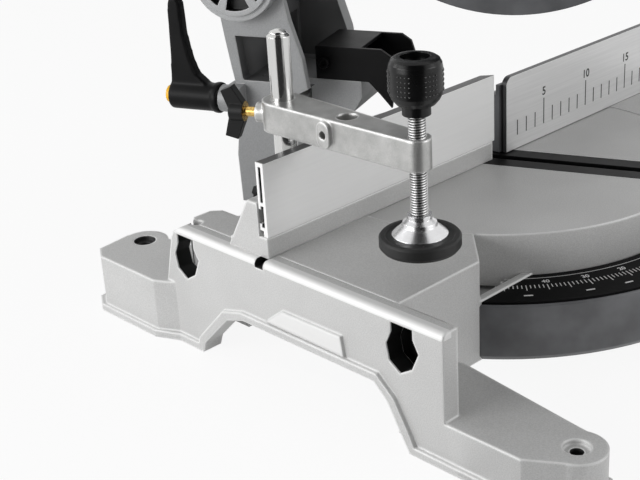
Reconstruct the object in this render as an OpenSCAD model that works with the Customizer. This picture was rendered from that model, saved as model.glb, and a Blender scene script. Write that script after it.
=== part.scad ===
// Compound mitre saw with a work clamp, head raised and turntable swung off square.
// Frame: origin on the bench at the centre of the four foot holes, +X right, +Y back, +Z up.

/* [Base] */
// Height of the table top above the bench
table_h = 82; // [78:1:90]
// Half the length of the base
base_half = 221.5; // [218:0.5:228]
// Front end of the end walls, forward of the origin
end_front = 117; // [112:1:122]
// Rear end of the end walls, behind the origin
end_back = 110; // [106:1:114]
// Thickness of the end walls
end_t = 12; // [8:0.5:15]
// Wall of the casting
wall = 5; // [4:0.5:7]
// Thickness of the table plate
plate_t = 6; // [5:0.5:8]
// Front wall of the table, forward of the origin
front_y = 74; // [70:1:80]
// Height of the arch under each end wall
arch_h = 37; // [30:1:42]
// Height of the front feet
front_foot_h = 28; // [24:1:32]
// Height of the rear feet
rear_foot_h = 41; // [36:1:46]
// Foot holes, in from the ends of the base
foot_in = 28; // [26:0.5:31]
// Foot holes, in front of and behind the origin
foot_y = 183; // [178:0.5:188]
// Diameter of the foot holes
foot_hole_d = 7.3; // [6:0.1:9]
// Diameter of the counterbores round the foot holes
foot_bore_d = 15; // [13:0.5:18]

/* [Fence] */
// Fence face, behind the origin
fence_y = 24; // [20:1:28]
// Outer ends of the fences, in from the ends of the base
fence_in = 5.5; // [4:0.5:9]
// Height of the sliding fence above the table
slide_top = 60; // [55:0.5:66]
// Height of the fixed ledge that carries the sliding fence
ledge_h = 13; // [11:0.5:16]
// Thickness of the sliding fence
slide_t = 6.5; // [6:0.1:8]
// Inner end of the sliding fence, left of the blade
slide_in = 5.5; // [5:0.5:9]
// Height of the right fence above the table
right_top = 53.8; // [50:0.2:60]
// Inner end of the right fence, right of the blade
right_in = 8.2; // [7:0.2:12]

/* [Turntable] */
// Mitre angle in the modelled pose
mitre_rest = 22.5; // [15:0.5:30]
// Radius of the turntable disc
turn_r = 132; // [128:0.5:134]
// Width of the scale ring round the disc
scale_w = 39; // [36:0.5:42]
// Top of the apron above the bench
apron_top = 53; // [50:0.5:54]
// Bottom of the apron above the bench
apron_low = 16; // [12:1:22]
// Running gap round and over the turntable
turn_gap = 0.5; // [0.4:0.1:0.8]
// Radius of the mitre pivot bolt
mitre_pin_r = 8; // [6:0.5:10]

/* [Bevel arm] */
// Radius of the bevel trunnion
trunnion_r = 44; // [40:0.5:45]
// Radius of the bevel pivot bolt
bevel_pin_r = 9; // [7:0.5:10]
// Outer face of the left cheek from the blade plane
cheek_left = 50; // [46:0.5:54]
// Outer face of the right cheek from the blade plane
cheek_right = 42; // [40:0.5:46]
// Thickness of the cheeks
cheek_t = 12; // [9:0.5:13]
// Bevel lever axis from the blade plane
lever_x = 55; // [54:0.5:58]
// Bevel lever axis above the table
lever_up = 46; // [44:0.5:48]

/* [Head] */
// Chop pivot behind the mitre axis
pivot_s = 166; // [164:0.5:168]
// Chop pivot above the table
pivot_up = 134; // [132:0.5:138]
// Distance from the chop pivot to the arbor
chop_r = 204.2; // [202:0.2:207]
// Lift of the head above level in the modelled pose
head_lift = 32.6; // [30:0.1:34]
// Radius of the chop pivot shaft
chop_pin_r = 10; // [8:0.5:11]
// Diameter of the blade
blade_d = 254; // [250:1:256]
// Thickness of the blade
blade_t = 2.4; // [2:0.1:2.8]
// Teeth on the blade
blade_teeth = 40; // [24:1:60]
// Radius of the motor housing
motor_r = 46; // [44:0.5:48]
// Length of the motor housing
motor_l = 110; // [100:1:120]

/* [Clamp] */
// Clamp post, in from the end of the base
post_in = 38.5; // [36:0.5:41]
// Clamp post behind the fence face
post_back = 15; // [14:0.5:18]
// Radius of the clamp post
post_r = 6.8; // [6:0.1:7.5]
// Top of the clamp post above the table
post_top = 128; // [124:1:129]
// Clamp screw in front of the fence face
screw_front = 92.7; // [88:0.1:96]
// Underside of the clamp arm above the table
arm_low = 70; // [66:0.5:74]
// Depth of the clamp arm
arm_h = 18; // [16:0.5:20]
// Radius of the clamp screw
screw_r = 5; // [4:0.1:5.5]
// Radius of the rubber pad
pad_r = 23; // [20:0.5:25]
// Underside of the pad above the table
pad_up = 23.3; // [20:0.1:26]

/* [Hidden] */
$fn = 48;

// Clearances: pressed or bolted fit, running fit on a shaft, free gap between moving pieces
fit = 0.02;
run = 0.05;
gap = 0.4;

cast_light = [0.74, 0.74, 0.72];
cast_grey = [0.55, 0.56, 0.57];
dark_grey = [0.25, 0.26, 0.27];
black = [0.06, 0.06, 0.065];
steel = [0.7, 0.71, 0.73];
amber = [0.95, 0.6, 0.08];

// Places shared by several pieces
mitre_y = fence_y;
foot_x = base_half - foot_in;
fence_end = base_half - fence_in;
post_x = base_half - post_in;
apron_r = turn_r + scale_w;
turn_top = table_h - turn_gap;
floor_low = arch_h + 1;
floor_t = 6;
hub_top = 58;
rear_x = base_half - 37;
rear_y = 89;
corner_x = turn_r + 16;
foot_inner_x = base_half - 56.5;
inner_x = base_half - end_t;
corner_y = 66;
scale_t = 1.5;
arm_under = apron_top + scale_t + 2.5;
arm_half = 28;
mitre_limit = 45;
housing_s = -apron_r - 3;
front_half = arm_half - 9;
trunnion_s = turn_r + 2;
trunnion_t = 11;
flange_s = trunnion_s + trunnion_t;
flange_t = 15;
web_t = 14;
web_s = flange_s + flange_t;
arm_back = web_s + web_t;
pivot_z = table_h + pivot_up;
centre_s = pivot_s - chop_r;
lever_z = table_h + lever_up;
screw_y = fence_y - screw_front;
post_y = fence_y + post_back;
screw_x = post_x + 0.9;
pad_t = 7.2;
pad_low = table_h + pad_up;
pad_top = pad_low + pad_t;
clamp_low = table_h + arm_low;
clamp_top = clamp_low + arm_h;

// Shared shapes
module box(x0, x1, y0, y1, z0, z1) {
    translate([x0, y0, z0])
        cube([x1 - x0, y1 - y0, z1 - z0]);
}

module rod_x(r, x0, x1, y, z) {
    translate([x0, y, z])
        rotate([0, 90, 0])
            cylinder(r = r, h = x1 - x0);
}

module rod_y(r, y0, y1, x, z) {
    translate([x, y0, z])
        rotate([-90, 0, 0])
            cylinder(r = r, h = y1 - y0);
}

module rod_z(r, z0, z1, x, y) {
    translate([x, y, z0])
        cylinder(r = r, h = z1 - z0);
}

// Outline of (y, z) points, thick along x
module slab_x(x0, x1, points) {
    translate([x0, 0, 0])
        rotate([90, 0, 90])
            linear_extrude(x1 - x0)
                polygon(points);
}

// Outline of (x, y) points, thick along z
module slab_z(z0, z1, points) {
    translate([0, 0, z0])
        linear_extrude(z1 - z0)
            polygon(points);
}

// Outline of (radius, x) points turned about an x axis through the origin
module arc_x(start, sweep, points) {
    rotate([90, 0, 90])
        rotate([0, 0, start])
            rotate_extrude(angle = sweep, $fn = 96)
                polygon(points);
}

// A quarter-round cutter along y, for the outer top edge of an end wall
module edge_round(r, y0, y1) {
    difference() {
        box(-1, r, y0, y1, -r, 1);
        rod_y(r, y0 - 1, y1 + 1, r, -r);
    }
}

module round_rect(w, h, r) {
    square([w - 2 * r, h], center = true);
    square([w, h - 2 * r], center = true);
    for (x = [-1, 1], y = [-1, 1])
        translate([x * (w / 2 - r), y * (h / 2 - r)])
            circle(r);
}

module both() {
    children();
    mirror([1, 0, 0])
        children();
}

// Frame of the turntable: x across the blade, y along it, back from the mitre axis
module on_turntable() {
    translate([0, mitre_y, 0])
        rotate([0, 0, mitre_rest])
            children();
}

// Frame of the head, drawn level and lifted about the chop pivot
module on_head() {
    on_turntable()
        translate([0, pivot_s, pivot_z])
            rotate([-head_lift, 0, 0])
                translate([0, -pivot_s, -pivot_z])
                    children();
}

// Frame with its origin on the arbor axis at the blade
module on_arbor() {
    on_head()
        translate([0, centre_s, pivot_z])
            children();
}

// Base casting
foot_boss_r = 16.5;
foot_shell = 5;
hub_r = 30;
// Overlap of the two mirrored halves at the middle
mid_lap = 1;
// Shallow step down to the seat of the fences, just in front of them
seat_h = 0.2;
seat_y = fence_y - 0.3;

// Feet of the arch under an end wall, and its shoulders
arch_front = 93;
arch_rear = 87;
lip = 2.5;
lip_h = 5;

function arch_path() = [
    [-arch_front, 0], [-arch_front + 7, 12], [-arch_front + 16, arch_h - 9], [-arch_front + 26, arch_h],
    [arch_rear - 43, arch_h], [arch_rear - 27, arch_h - 5], [arch_rear - 3, 8], [arch_rear, 0]];

function end_profile() = concat(
    [[-end_front, table_h], [-end_front, front_foot_h], [-end_front - 33, front_foot_h], [-end_front - 33, 0]],
    arch_path(),
    [[end_back + 40, 0], [end_back + 40, rear_foot_h], [end_back + 11, rear_foot_h], [end_back + 2, table_h - 8],
        [end_back - 1, table_h - 3], [end_back - 6, table_h]]);

// Proud bead along the arch
function arch_lip() = concat(arch_path(), [
    [arch_rear + 6, 0], [arch_rear + 3, 10], [arch_rear - 23, arch_h], [arch_rear - 41, arch_h + lip_h],
    [-arch_front + 24, arch_h + lip_h], [-arch_front + 11, arch_h - 6], [-arch_front + 1, 14],
    [-arch_front - 6, 0]]);

function front_foot_plan(d) = [
    [-inner_x + d, -front_y], [-inner_x + d, -arch_front], [-base_half + d, -arch_front],
    [-base_half + d, -foot_y + 15 + d], [-foot_x - 13 + d, -foot_y - 9 + d], [-foot_x + 14 - d, -foot_y - 9 + d],
    [-foot_x + 17 - d, -foot_y + 15], [-foot_inner_x - d, -front_y - 12], [-foot_inner_x - d, -front_y]];

function rear_foot_plan(d) = [
    [-base_half + d, rear_y + 1], [-base_half + d, end_back + 3 + d], [-base_half - 7.5 + d, end_back + 18],
    [-base_half - 7.5 + d, foot_y + 3 - d], [-base_half - 0.5 + d, foot_y + 14 - d], [-foot_x - 2, foot_y + 17 - d],
    [-foot_x + 10 - d, foot_y + 5], [-rear_x + 7 - d, end_back + 40], [-rear_x + 7 - d, rear_y + 1]];

module foot(plan, inner_plan, rim_plan, h, top_t, y) {
    difference() {
        union() {
            slab_z(0, h, plan);
            slab_z(0, lip_h, rim_plan);
            rod_z(foot_boss_r, 0, h, -foot_x, y);
        }
        difference() {
            slab_z(-1, h - top_t, inner_plan);
            rod_z(foot_bore_d / 2 + 3, -2, h, -foot_x, y);
        }
        rod_z(foot_hole_d / 2, -1, h + 1, -foot_x, y);
        rod_z(foot_bore_d / 2, h - 3, h + 1, -foot_x, y);
    }
}

// Keyhole window in the end wall: a square notch over a drop-shaped lobe
module keyhole(y) {
    translate([-base_half - 1, y, 0])
        slab_x(0, end_t + 2, [
            [-8, table_h - 4.5], [8, table_h - 4.5], [8, table_h - 10.5], [12, table_h - 19],
            [10, table_h - 29], [2, table_h - 34.5], [-7, table_h - 29], [-12, table_h - 18], [-8, table_h - 10.5]]);
}

// Frame of the front arm at its left limit, seen from the mitre axis
module at_left_limit() {
    translate([0, mitre_y, 0])
        rotate([0, 0, -mitre_limit])
            children();
}

// Hole in the rear corner of the table
module table_hole() {
    rod_z(4, table_h - plate_t - 1, table_h + 1, -base_half + 13.5, end_back - 8);
}

// Room over the seat of the fences
module fence_seat() {
    box(-base_half - 1, mid_lap + 1, seat_y, end_back + 1, table_h - seat_h, table_h + 1);
}

// Sweep of the front arm at its left limit
module left_sweep() {
    at_left_limit()
        box(-arm_half - 1.5, arm_half + 60, -apron_r - 60, -turn_r + 22, arm_under - 1.5, table_h + 1);
}

module end_casting() {
    difference() {
        union() {
            slab_x(-base_half, -inner_x, end_profile());
            slab_x(-base_half - lip, -base_half + 1, arch_lip());
            foot(front_foot_plan(0), front_foot_plan(foot_shell), front_foot_plan(-lip), front_foot_h, 7, -foot_y);
            foot(rear_foot_plan(0), rear_foot_plan(foot_shell), rear_foot_plan(-lip), rear_foot_h, 7, foot_y);
            slab_x(-base_half - 2, -base_half + 1, [[23, 43.5], [8, 55], [-41.5, 55.5], [-43.5, 43]]);
        }
        keyhole(end_back - 12);
        keyhole(-end_front + 29.5);
        box(-base_half - 1, -base_half + 9, fence_y, fence_y + 7, table_h - 5, table_h + 1);
        translate([-base_half, 0, table_h])
            edge_round(4, -end_front - 1, end_back + 12);
        table_hole();
        fence_seat();
    }
}

module left_end_casting() {
    color(cast_light)
        end_casting();
}

module right_end_casting() {
    color(cast_light)
        mirror([1, 0, 0])
            end_casting();
}

module half_base() {
    top_in = table_h - plate_t;
    clear_x = -arm_half - 1.5;
    edge_x = -inner_x + fit;
    difference() {
        union() {
            at_left_limit()
                box(clear_x - wall, clear_x + 0.01, -apron_r + 7, -turn_r + 7, floor_low, top_in + 1);
            slab_z(top_in, table_h, [
                [edge_x, -front_y], [edge_x, end_back - 6], [edge_x + 6, end_back], [-rear_x - 6, end_back],
                [-rear_x, end_back - 6],
                [-rear_x, rear_y], [-corner_x, corner_y], [mid_lap, corner_y], [mid_lap, -front_y]]);
            box(edge_x, -80, -front_y + fit, -front_y + wall, apron_low, top_in + 1);
            box(edge_x, -rear_x, end_back - wall - 2, end_back - 2, rear_foot_h + fit, top_in + 1);
            box(-rear_x - wall, -rear_x, rear_y - 5, end_back - 3, rear_foot_h + fit, top_in + 1);
            slab_z(floor_low, top_in + 1, [
                [-rear_x, rear_y], [-corner_x, corner_y], [-corner_x, corner_y - wall - 1], [-rear_x, rear_y - wall - 1]]);
            box(-corner_x, -turn_r + 22, corner_y - wall, corner_y, floor_low, top_in + 1);
            box(-foot_inner_x, mid_lap, -front_y + 1, corner_y - 1, floor_low, floor_low + floor_t);
        }
        table_hole();
        fence_seat();
        left_sweep();
    }
}

// Everything in front of the line y
module in_front_of(y) {
    intersection() {
        children();
        box(-base_half, base_half, -2 * base_half, y, 0, table_h);
    }
}

// Ring of (radius, z) points round the mitre axis
module mitre_ring(points) {
    translate([0, mitre_y, 0])
        rotate_extrude($fn = 96)
            polygon(points);
}

// Ring in front of the table that carries the scale
module scale_ring() {
    color(dark_grey)
        in_front_of(-front_y)
            mitre_ring([
                [apron_r - wall, apron_low], [apron_r - 2, apron_low], [apron_r, apron_low + 3],
                [apron_r, apron_top - 1], [apron_r - 1, apron_top], [turn_r + 1.2, apron_top],
                [turn_r + 1.2, apron_top - wall], [apron_r - wall, apron_top - wall]]);
}

module base_casting() {
    color(cast_light)
        difference() {
            union() {
                difference() {
                    union() {
                        both()
                            half_base();
                        in_front_of(-front_y + wall - 1)
                            rod_z(apron_r - wall - fit, floor_low, floor_low + floor_t, 0, mitre_y);
                    }
                    rod_z(turn_r + turn_gap, floor_low + floor_t, table_h + 1, 0, mitre_y);
                }
                rod_z(hub_r, floor_low + 1, hub_top, 0, mitre_y);
            }
            rod_z(mitre_pin_r + fit, floor_low - 1, hub_top + 1, 0, mitre_y);
            rod_z(post_r + gap, table_h - plate_t - 1, table_h + 1, -post_x, post_y);
        }
}

module mitre_scale() {
    inner = turn_r + 1.6;
    outer = apron_r - 1.5;
    color(black)
        in_front_of(-front_y - 0.2)
            mitre_ring([
                [inner, apron_top], [outer, apron_top], [outer, apron_top + scale_t], [inner, apron_top + scale_t]]);
}

module mitre_pivot_bolt() {
    color(steel) {
        rod_z(mitre_pin_r, floor_low, hub_top + 14, 0, mitre_y);
        rod_z(mitre_pin_r + 6, floor_low - 6, floor_low, 0, mitre_y);
    }
}

// Fences
rear_wall_h = 34;
flange_d = 34;
flange_h = 6;
lock_x = fence_end - 106;
lock_up = 25.9;
post_lock_up = 22;
post_lock_r = 2.5;
// Outer sides of the ribs behind both fences, and their thickness
rib_places = [fence_end, fence_end - 66, fence_end - 132];
rib_t = 9;
// Thickness of the right fence
right_t = 4.5;

module left_fence_casting() {
    z0 = table_h;
    color(cast_light)
        difference() {
            translate([0, fence_y, z0])
                union() {
                    slab_x(-fence_end, -slide_in - 2, [
                        [0, -seat_h], [0, ledge_h], [slide_t + 0.6, ledge_h], [slide_t + 0.6, rear_wall_h],
                        [slide_t + 6, rear_wall_h], [slide_t + 7, flange_h], [flange_d, flange_h],
                        [flange_d, -seat_h]]);
                    for (x = rib_places)
                        slab_x(-x, -x + rib_t, [
                            [0, -seat_h], [0, ledge_h], [slide_t + 0.6, ledge_h], [slide_t + 0.6, rear_wall_h],
                            [slide_t + 9.5, rear_wall_h], [flange_d + 2, -seat_h]]);
                    rod_z(post_r + 5, -seat_h, rear_wall_h, -post_x, post_back);
                }
            rod_z(post_r + run, z0 - 1, z0 + rear_wall_h + 1, -post_x, post_y);
            rod_y(post_lock_r + run, post_y, fence_y + 40, -post_x, z0 + post_lock_up);
            box(-fence_end - 1, -fence_end + 76, fence_y - 1, fence_y + slide_t + 0.6, z0 + ledge_h, z0 + 60);
            translate([0, fence_y, z0 - 1])
                linear_extrude(rear_wall_h + 2)
                    polygon([[-slide_in - 1.5, 0], [20, 0], [20, 60], [-slide_in - 1.5 - 60, 60]]);
            rod_y(4 + fit, fence_y, fence_y + 40, -lock_x, z0 + lock_up);
        }
}

module sliding_fence() {
    low = table_h + ledge_h + 0.2;
    top = table_h + slide_top;
    color(steel)
        difference() {
            box(-fence_end + 0.8, -slide_in, fence_y, fence_y + slide_t, low, top);
            box(-fence_end, 0, fence_y + 2.2, fence_y + slide_t - 2, table_h + 35, top - 2.5);
            box(-fence_end, 0, fence_y + 2.2, fence_y + slide_t - 1.8, table_h + 19, table_h + 32.8);
            box(-fence_end, 0, fence_y + 3, fence_y + slide_t + 1, table_h + 21.2, table_h + 30.6);
            box(-fence_end, 0, fence_y + slide_t - 3, fence_y + slide_t + 1, low - 1, table_h + 17);
            translate([-slide_in, fence_y, 0])
                slab_z(low - 1, top + 1, [[0, 0], [slide_t + 1, slide_t + 1], [-slide_t - 1, slide_t + 1]]);
        }
}

module fence_lock_bolt() {
    color(steel) {
        rod_y(4, fence_y + slide_t - 2.2, fence_y + 30, -lock_x, table_h + lock_up);
        box(-lock_x - 6, -lock_x + 6, fence_y + 2.5, fence_y + slide_t - 2.1,
            table_h + lock_up - 6, table_h + lock_up + 6);
    }
}

module fence_lock_knob() {
    y0 = fence_y + slide_t + 7;
    color(black)
        difference() {
            union() {
                rod_y(7, y0, y0 + 5, -lock_x, table_h + lock_up);
                rod_y(13, y0 + 5, y0 + 17, -lock_x, table_h + lock_up);
            }
            rod_y(4 + run, y0 - 1, fence_y + 31, -lock_x, table_h + lock_up);
            for (a = [0 : 45 : 315])
                translate([-lock_x + 15.5 * cos(a), 0, table_h + lock_up + 15.5 * sin(a)])
                    rod_y(4, y0 + 4, y0 + 18, 0, 0);
        }
}

module right_fence() {
    corner = 6;
    // Chamfer along the foot, so that the face starts just above the table
    foot_cut = 0.3;
    color(steel)
        translate([0, fence_y, table_h])
            difference() {
                slab_x(right_in, fence_end, [
                    [seat_h + foot_cut, -seat_h], [0, foot_cut], [0, right_top], [right_t, right_top],
                    [right_t, -seat_h]]);
                translate([right_in, 0, right_top])
                    edge_round(corner, -1, right_t + 1);
            }
}

module right_fence_backing() {
    y0 = fence_y + right_t;
    color(dark_grey)
        difference() {
            union() {
                translate([0, y0, table_h]) {
                    slab_x(right_in - 2.6, fence_end, [
                        [0, -seat_h], [0, right_top - 5], [3, right_top - 5], [3, right_top - 12],
                        [8, right_top - 12], [9, flange_h], [flange_d - 4, flange_h], [flange_d - 4, -seat_h]]);
                    for (x = rib_places)
                        slab_x(x - rib_t, x, [[0, -seat_h], [0, 36], [11, 36], [flange_d - 2, -seat_h]]);
                }
            }
            translate([0, fence_y, table_h - 1])
                linear_extrude(right_top + 2)
                    polygon([[right_in - 1, 12], [-20, 12], [-20, 60], [66, 60]]);
        }
}

module fence_screws() {
    color(steel)
        for (x = [-fence_end + 18, -fence_end + 52, fence_end - 52, fence_end - 18]) {
            y = fence_y + 26;
            rod_z(4, table_h + flange_h, table_h + flange_h + 5, x, y);
            rod_z(6.5, table_h + flange_h, table_h + flange_h + 2, x, y);
        }
}

// Work clamp
post_deep = 12;

module clamp_post() {
    chamfer = 1.5;
    h = post_top + post_deep;
    color(steel)
        translate([-post_x, post_y, table_h - post_deep])
            rotate_extrude()
                polygon([[0, 0], [post_r - chamfer, 0], [post_r, chamfer], [post_r, h - chamfer],
                    [post_r - chamfer, h], [0, h]]);
}

// Thumb screw that holds the post in its socket
module post_lock_screw() {
    y0 = post_y + post_r + gap;
    z = table_h + post_lock_up;
    color(black) {
        rod_y(post_lock_r, y0, y0 + 14, -post_x, z);
        rod_y(5, y0 + 6, y0 + 9, -post_x, z);
        difference() {
            rod_y(9, y0 + 9, y0 + 18, -post_x, z);
            for (a = [0 : 60 : 300])
                rod_y(3, y0 + 8, y0 + 19, -post_x + 10.5 * cos(a), z + 10.5 * sin(a));
        }
    }
}

wing_turn = 27;
collar_r = post_r + 5.5;
nose_r = screw_r + 2.7;

module on_wing_axis() {
    translate([-post_x, post_y, clamp_low + arm_h / 2])
        rotate([0, 0, wing_turn])
            children();
}

module clamp_arm() {
    color(cast_light)
        difference() {
            union() {
                rod_z(collar_r, clamp_low, clamp_top, -post_x, post_y);
                rod_z(nose_r, clamp_low, clamp_top, -screw_x, screw_y);
                slab_z(clamp_low, clamp_top, [
                    [-post_x - collar_r, post_y], [-post_x + collar_r, post_y],
                    [-screw_x + nose_r, screw_y], [-screw_x - nose_r, screw_y]]);
                on_wing_axis()
                    rod_y(6, 0, collar_r + 4, 0, 0);
                for (dz = [-3, 3])
                    rod_x(5, -post_x - collar_r - 1, -post_x, screw_y + 61, clamp_low + arm_h / 2 + dz);
                box(-post_x - collar_r - 1, -post_x, screw_y + 56, screw_y + 66,
                    clamp_low + arm_h / 2 - 3, clamp_low + arm_h / 2 + 3);
            }
            rod_z(post_r + run, clamp_low - 1, clamp_top + 1, -post_x, post_y);
            rod_z(screw_r + run, clamp_low - 1, clamp_top + 1, -screw_x, screw_y);
            rod_z(screw_r + 1.2, clamp_low - 1, clamp_top + 1, -post_x, screw_y + 54);
            rod_x(2.5, -post_x - collar_r - 2, -post_x, screw_y + 61, clamp_low + arm_h / 2);
            on_wing_axis()
                rod_y(3 + run, 0, collar_r + 5, 0, 0);
        }
}

module wing_screw() {
    y0 = collar_r + 4;
    on_wing_axis() {
        color([0.78, 0.6, 0.25])
            rod_y(3, post_r + 0.4, y0 + 9, 0, 0);
        color(black) {
            rod_y(6, y0 + 8, y0 + 17, 0, 0);
            translate([-3, 0, 0])
                slab_x(0, 6, [[y0 + 8, -5], [y0 + 13, -17], [y0 + 21, -15], [y0 + 17, 0],
                    [y0 + 22, 13], [y0 + 15, 16], [y0 + 8, 5]]);
        }
    }
}

screw_low = pad_top + 4;
collar_low = clamp_top + 13;
collar_h = 6;
knob_low = collar_low + collar_h;
knob_h = 25.7;

module clamp_screw() {
    color(steel)
        rod_z(screw_r, screw_low, knob_low + 10, -screw_x, screw_y);
}

module clamp_knob() {
    knob_r = 14.6;
    color(black)
        difference() {
            union() {
                rod_z(7.8, collar_low, knob_low + 1, -screw_x, screw_y);
                translate([-screw_x, screw_y, knob_low])
                    rotate_extrude()
                        polygon([[0, 0], [knob_r - 4, 0], [knob_r - 1.8, 2.6], [knob_r - 0.4, 5.4], [knob_r, 8],
                            [knob_r, knob_h - 6], [knob_r - 0.4, knob_h - 3.4], [knob_r - 1.5, knob_h - 1.4],
                            [knob_r - 3.2, knob_h - 0.3], [knob_r - 4.6, knob_h], [0, knob_h]]);
            }
            rod_z(screw_r + fit, collar_low - 1, knob_low + 10, -screw_x, screw_y);
            rod_z(8, knob_low + knob_h - 4, knob_low + knob_h + 1, -screw_x, screw_y);
        }
}

module clamp_foot() {
    color(steel)
        translate([-screw_x, screw_y, pad_top])
            difference() {
                rotate_extrude()
                    polygon([[0, 0], [15.7, 0], [15.7, 1.5], [10, 6.5], [9.5, 8.5], [7, 10.5], [7, 13], [0, 13]]);
                rod_z(screw_r + run, 4 - 0.2, 14, 0, 0);
            }
}

module clamp_pad() {
    color(black)
        translate([-screw_x, screw_y, pad_low])
            difference() {
                rotate_extrude()
                    polygon([[0, 0], [pad_r - 1.5, 0], [pad_r, 2], [pad_r, pad_t - 0.2], [pad_r - 1, pad_t + 1],
                        [pad_r - 3.2, pad_t + 1], [pad_r - 4.2, pad_t], [0, pad_t]]);
                rod_z(8, -1, 2, 0, 0);
            }
}

// Turntable
housing_l = 38;
kerf_half = 16;
housing_low = 12;
lock_z = 47;
lock_rod_r = 5;
knob_r = 17;
detent_z = 20;
detent_s = housing_s - 14;
front_s = housing_s - housing_l;
detent_pin_r = 2;
detent_half = 8;
detent_l = 15;

module turntable() {
    color(cast_light)
        on_turntable()
            difference() {
                union() {
                    difference() {
                        rod_z(turn_r, floor_low + floor_t + 3, turn_top, 0, 0);
                        rod_z(turn_r - wall, floor_low + floor_t + 2, turn_top - 7, 0, 0);
                    }
                    rod_z(26, hub_top + gap, turn_top - 6, 0, 0);
                    for (a = [30 : 60 : 330])
                        rotate([0, 0, a])
                            box(20, turn_r - 2, -2.5, 2.5, hub_top + gap, turn_top - 6);
                    slab_z(arm_under, turn_top, [
                        [-arm_half, -118], [-arm_half, housing_s - 12], [-front_half, front_s], [front_half, front_s],
                        [arm_half, housing_s - 12], [arm_half, -118]]);
                    box(-front_half, front_half, front_s, housing_s, housing_low, arm_under + 1);
                    box(-40, 40, 112, trunnion_s + 1, floor_low + floor_t + 6, turn_top);
                    rod_y(trunnion_r, trunnion_s, trunnion_s + trunnion_t, 0, table_h);
                }
                box(-kerf_half, kerf_half, front_s + 45, 84, turn_top - 3, turn_top + 1);
                box(-6, 6, front_s + 50, 70, arm_under + 6, turn_top + 1);
                box(-arm_half + wall, arm_half - wall, housing_s + 1, -124, arm_under - 1, turn_top - 9);
                rod_z(mitre_pin_r + run, hub_top - 1, hub_top + 14.4, 0, 0);
                rod_y(bevel_pin_r + fit, trunnion_s - 8, flange_s + 1, 0, table_h);
                rod_y(lock_rod_r + run, front_s - 1, housing_s + 1, 0, lock_z);
                box(-detent_half - gap, detent_half + gap, front_s - 1, housing_s + 1, housing_low - 1, detent_z + 7);
                rod_x(detent_pin_r + fit, -front_half - 1, front_half + 1, detent_s, detent_z);
            }
}

module kerf_plates() {
    plate_in = 3.5;
    color(black)
        on_turntable()
            for (x0 = [-kerf_half + 0.3, plate_in])
                box(x0, x0 + kerf_half - 0.3 - plate_in, front_s + 45.3, 83.7, turn_top - 3, turn_top - 0.1);
}

module mitre_lock_rod() {
    color(steel)
        on_turntable()
            rod_y(lock_rod_r, front_s - 20, housing_s - 1.5, 0, lock_z);
}

module mitre_lock_knob() {
    flutes = 6;
    color(black)
        on_turntable()
            difference() {
                union() {
                    rod_y(knob_r - 5, front_s - 8, front_s - 0.3, 0, lock_z);
                    rod_y(knob_r, front_s - 46, front_s - 8, 0, lock_z);
                    rod_y(knob_r - 4, front_s - 49, front_s - 46, 0, lock_z);
                }
                rod_y(lock_rod_r + fit, front_s - 20, front_s + 1, 0, lock_z);
                for (i = [0 : flutes - 1])
                    translate([0, 0, lock_z])
                        rotate([0, i * 360 / flutes, 0])
                            rod_y(5, front_s - 50, front_s - 12, knob_r + 3, 0);
            }
}

module detent_lever() {
    color(dark_grey)
        on_turntable()
            difference() {
                slab_x(-detent_half, detent_half, [
                    [detent_s + 10, detent_z - 3.5], [detent_s + 10, detent_z + 3.5], [detent_s, detent_z + 4.5],
                    [front_s, detent_z + 1], [front_s - detent_l, detent_z - 5], [front_s - detent_l - 1, detent_z - 8],
                    [front_s, detent_z - 5.5], [detent_s - 4, detent_z - 4]]);
                rod_x(detent_pin_r + run, -10, 10, detent_s, detent_z);
            }
}

module detent_pin() {
    color(steel)
        on_turntable()
            rod_x(detent_pin_r, -front_half, front_half, detent_s, detent_z);
}

module bevel_pivot_bolt() {
    color(steel)
        on_turntable() {
            rod_y(bevel_pin_r, trunnion_s - 7, web_s + 1, 0, table_h);
            rod_y(bevel_pin_r + 6, web_s + 0.4, web_s + 9, 0, table_h);
        }
}

// Bevel arm
nose_top = table_h + 54;
nose_half = 22;
cap_r = 31.5;

arm_low_z = table_h - trunnion_r + 11;

// Height of a share of the way from the table up to the chop pivot
function up(share) = table_h + share * pivot_up;

function cheek_profile() = [
    [arm_back + 3, arm_low_z], [arm_back + 4, up(0.02)], [arm_back, up(0.25)], [arm_back, up(0.38)],
    [arm_back + 3, up(0.5)], [arm_back + 6, up(0.635)], [arm_back + 9, up(0.785)],
    [pivot_s + 29, pivot_z - 8], [pivot_s - 30, pivot_z - 2], [pivot_s - 32, pivot_z - 19],
    [pivot_s - 35, up(0.755)], [pivot_s - 43, up(0.567)], [pivot_s - 46, up(0.41)],
    [trunnion_s - 1, table_h + trunnion_r + 4], [flange_s + 0.3, table_h + trunnion_r - 4],
    [flange_s + 0.3, arm_low_z]];

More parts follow.
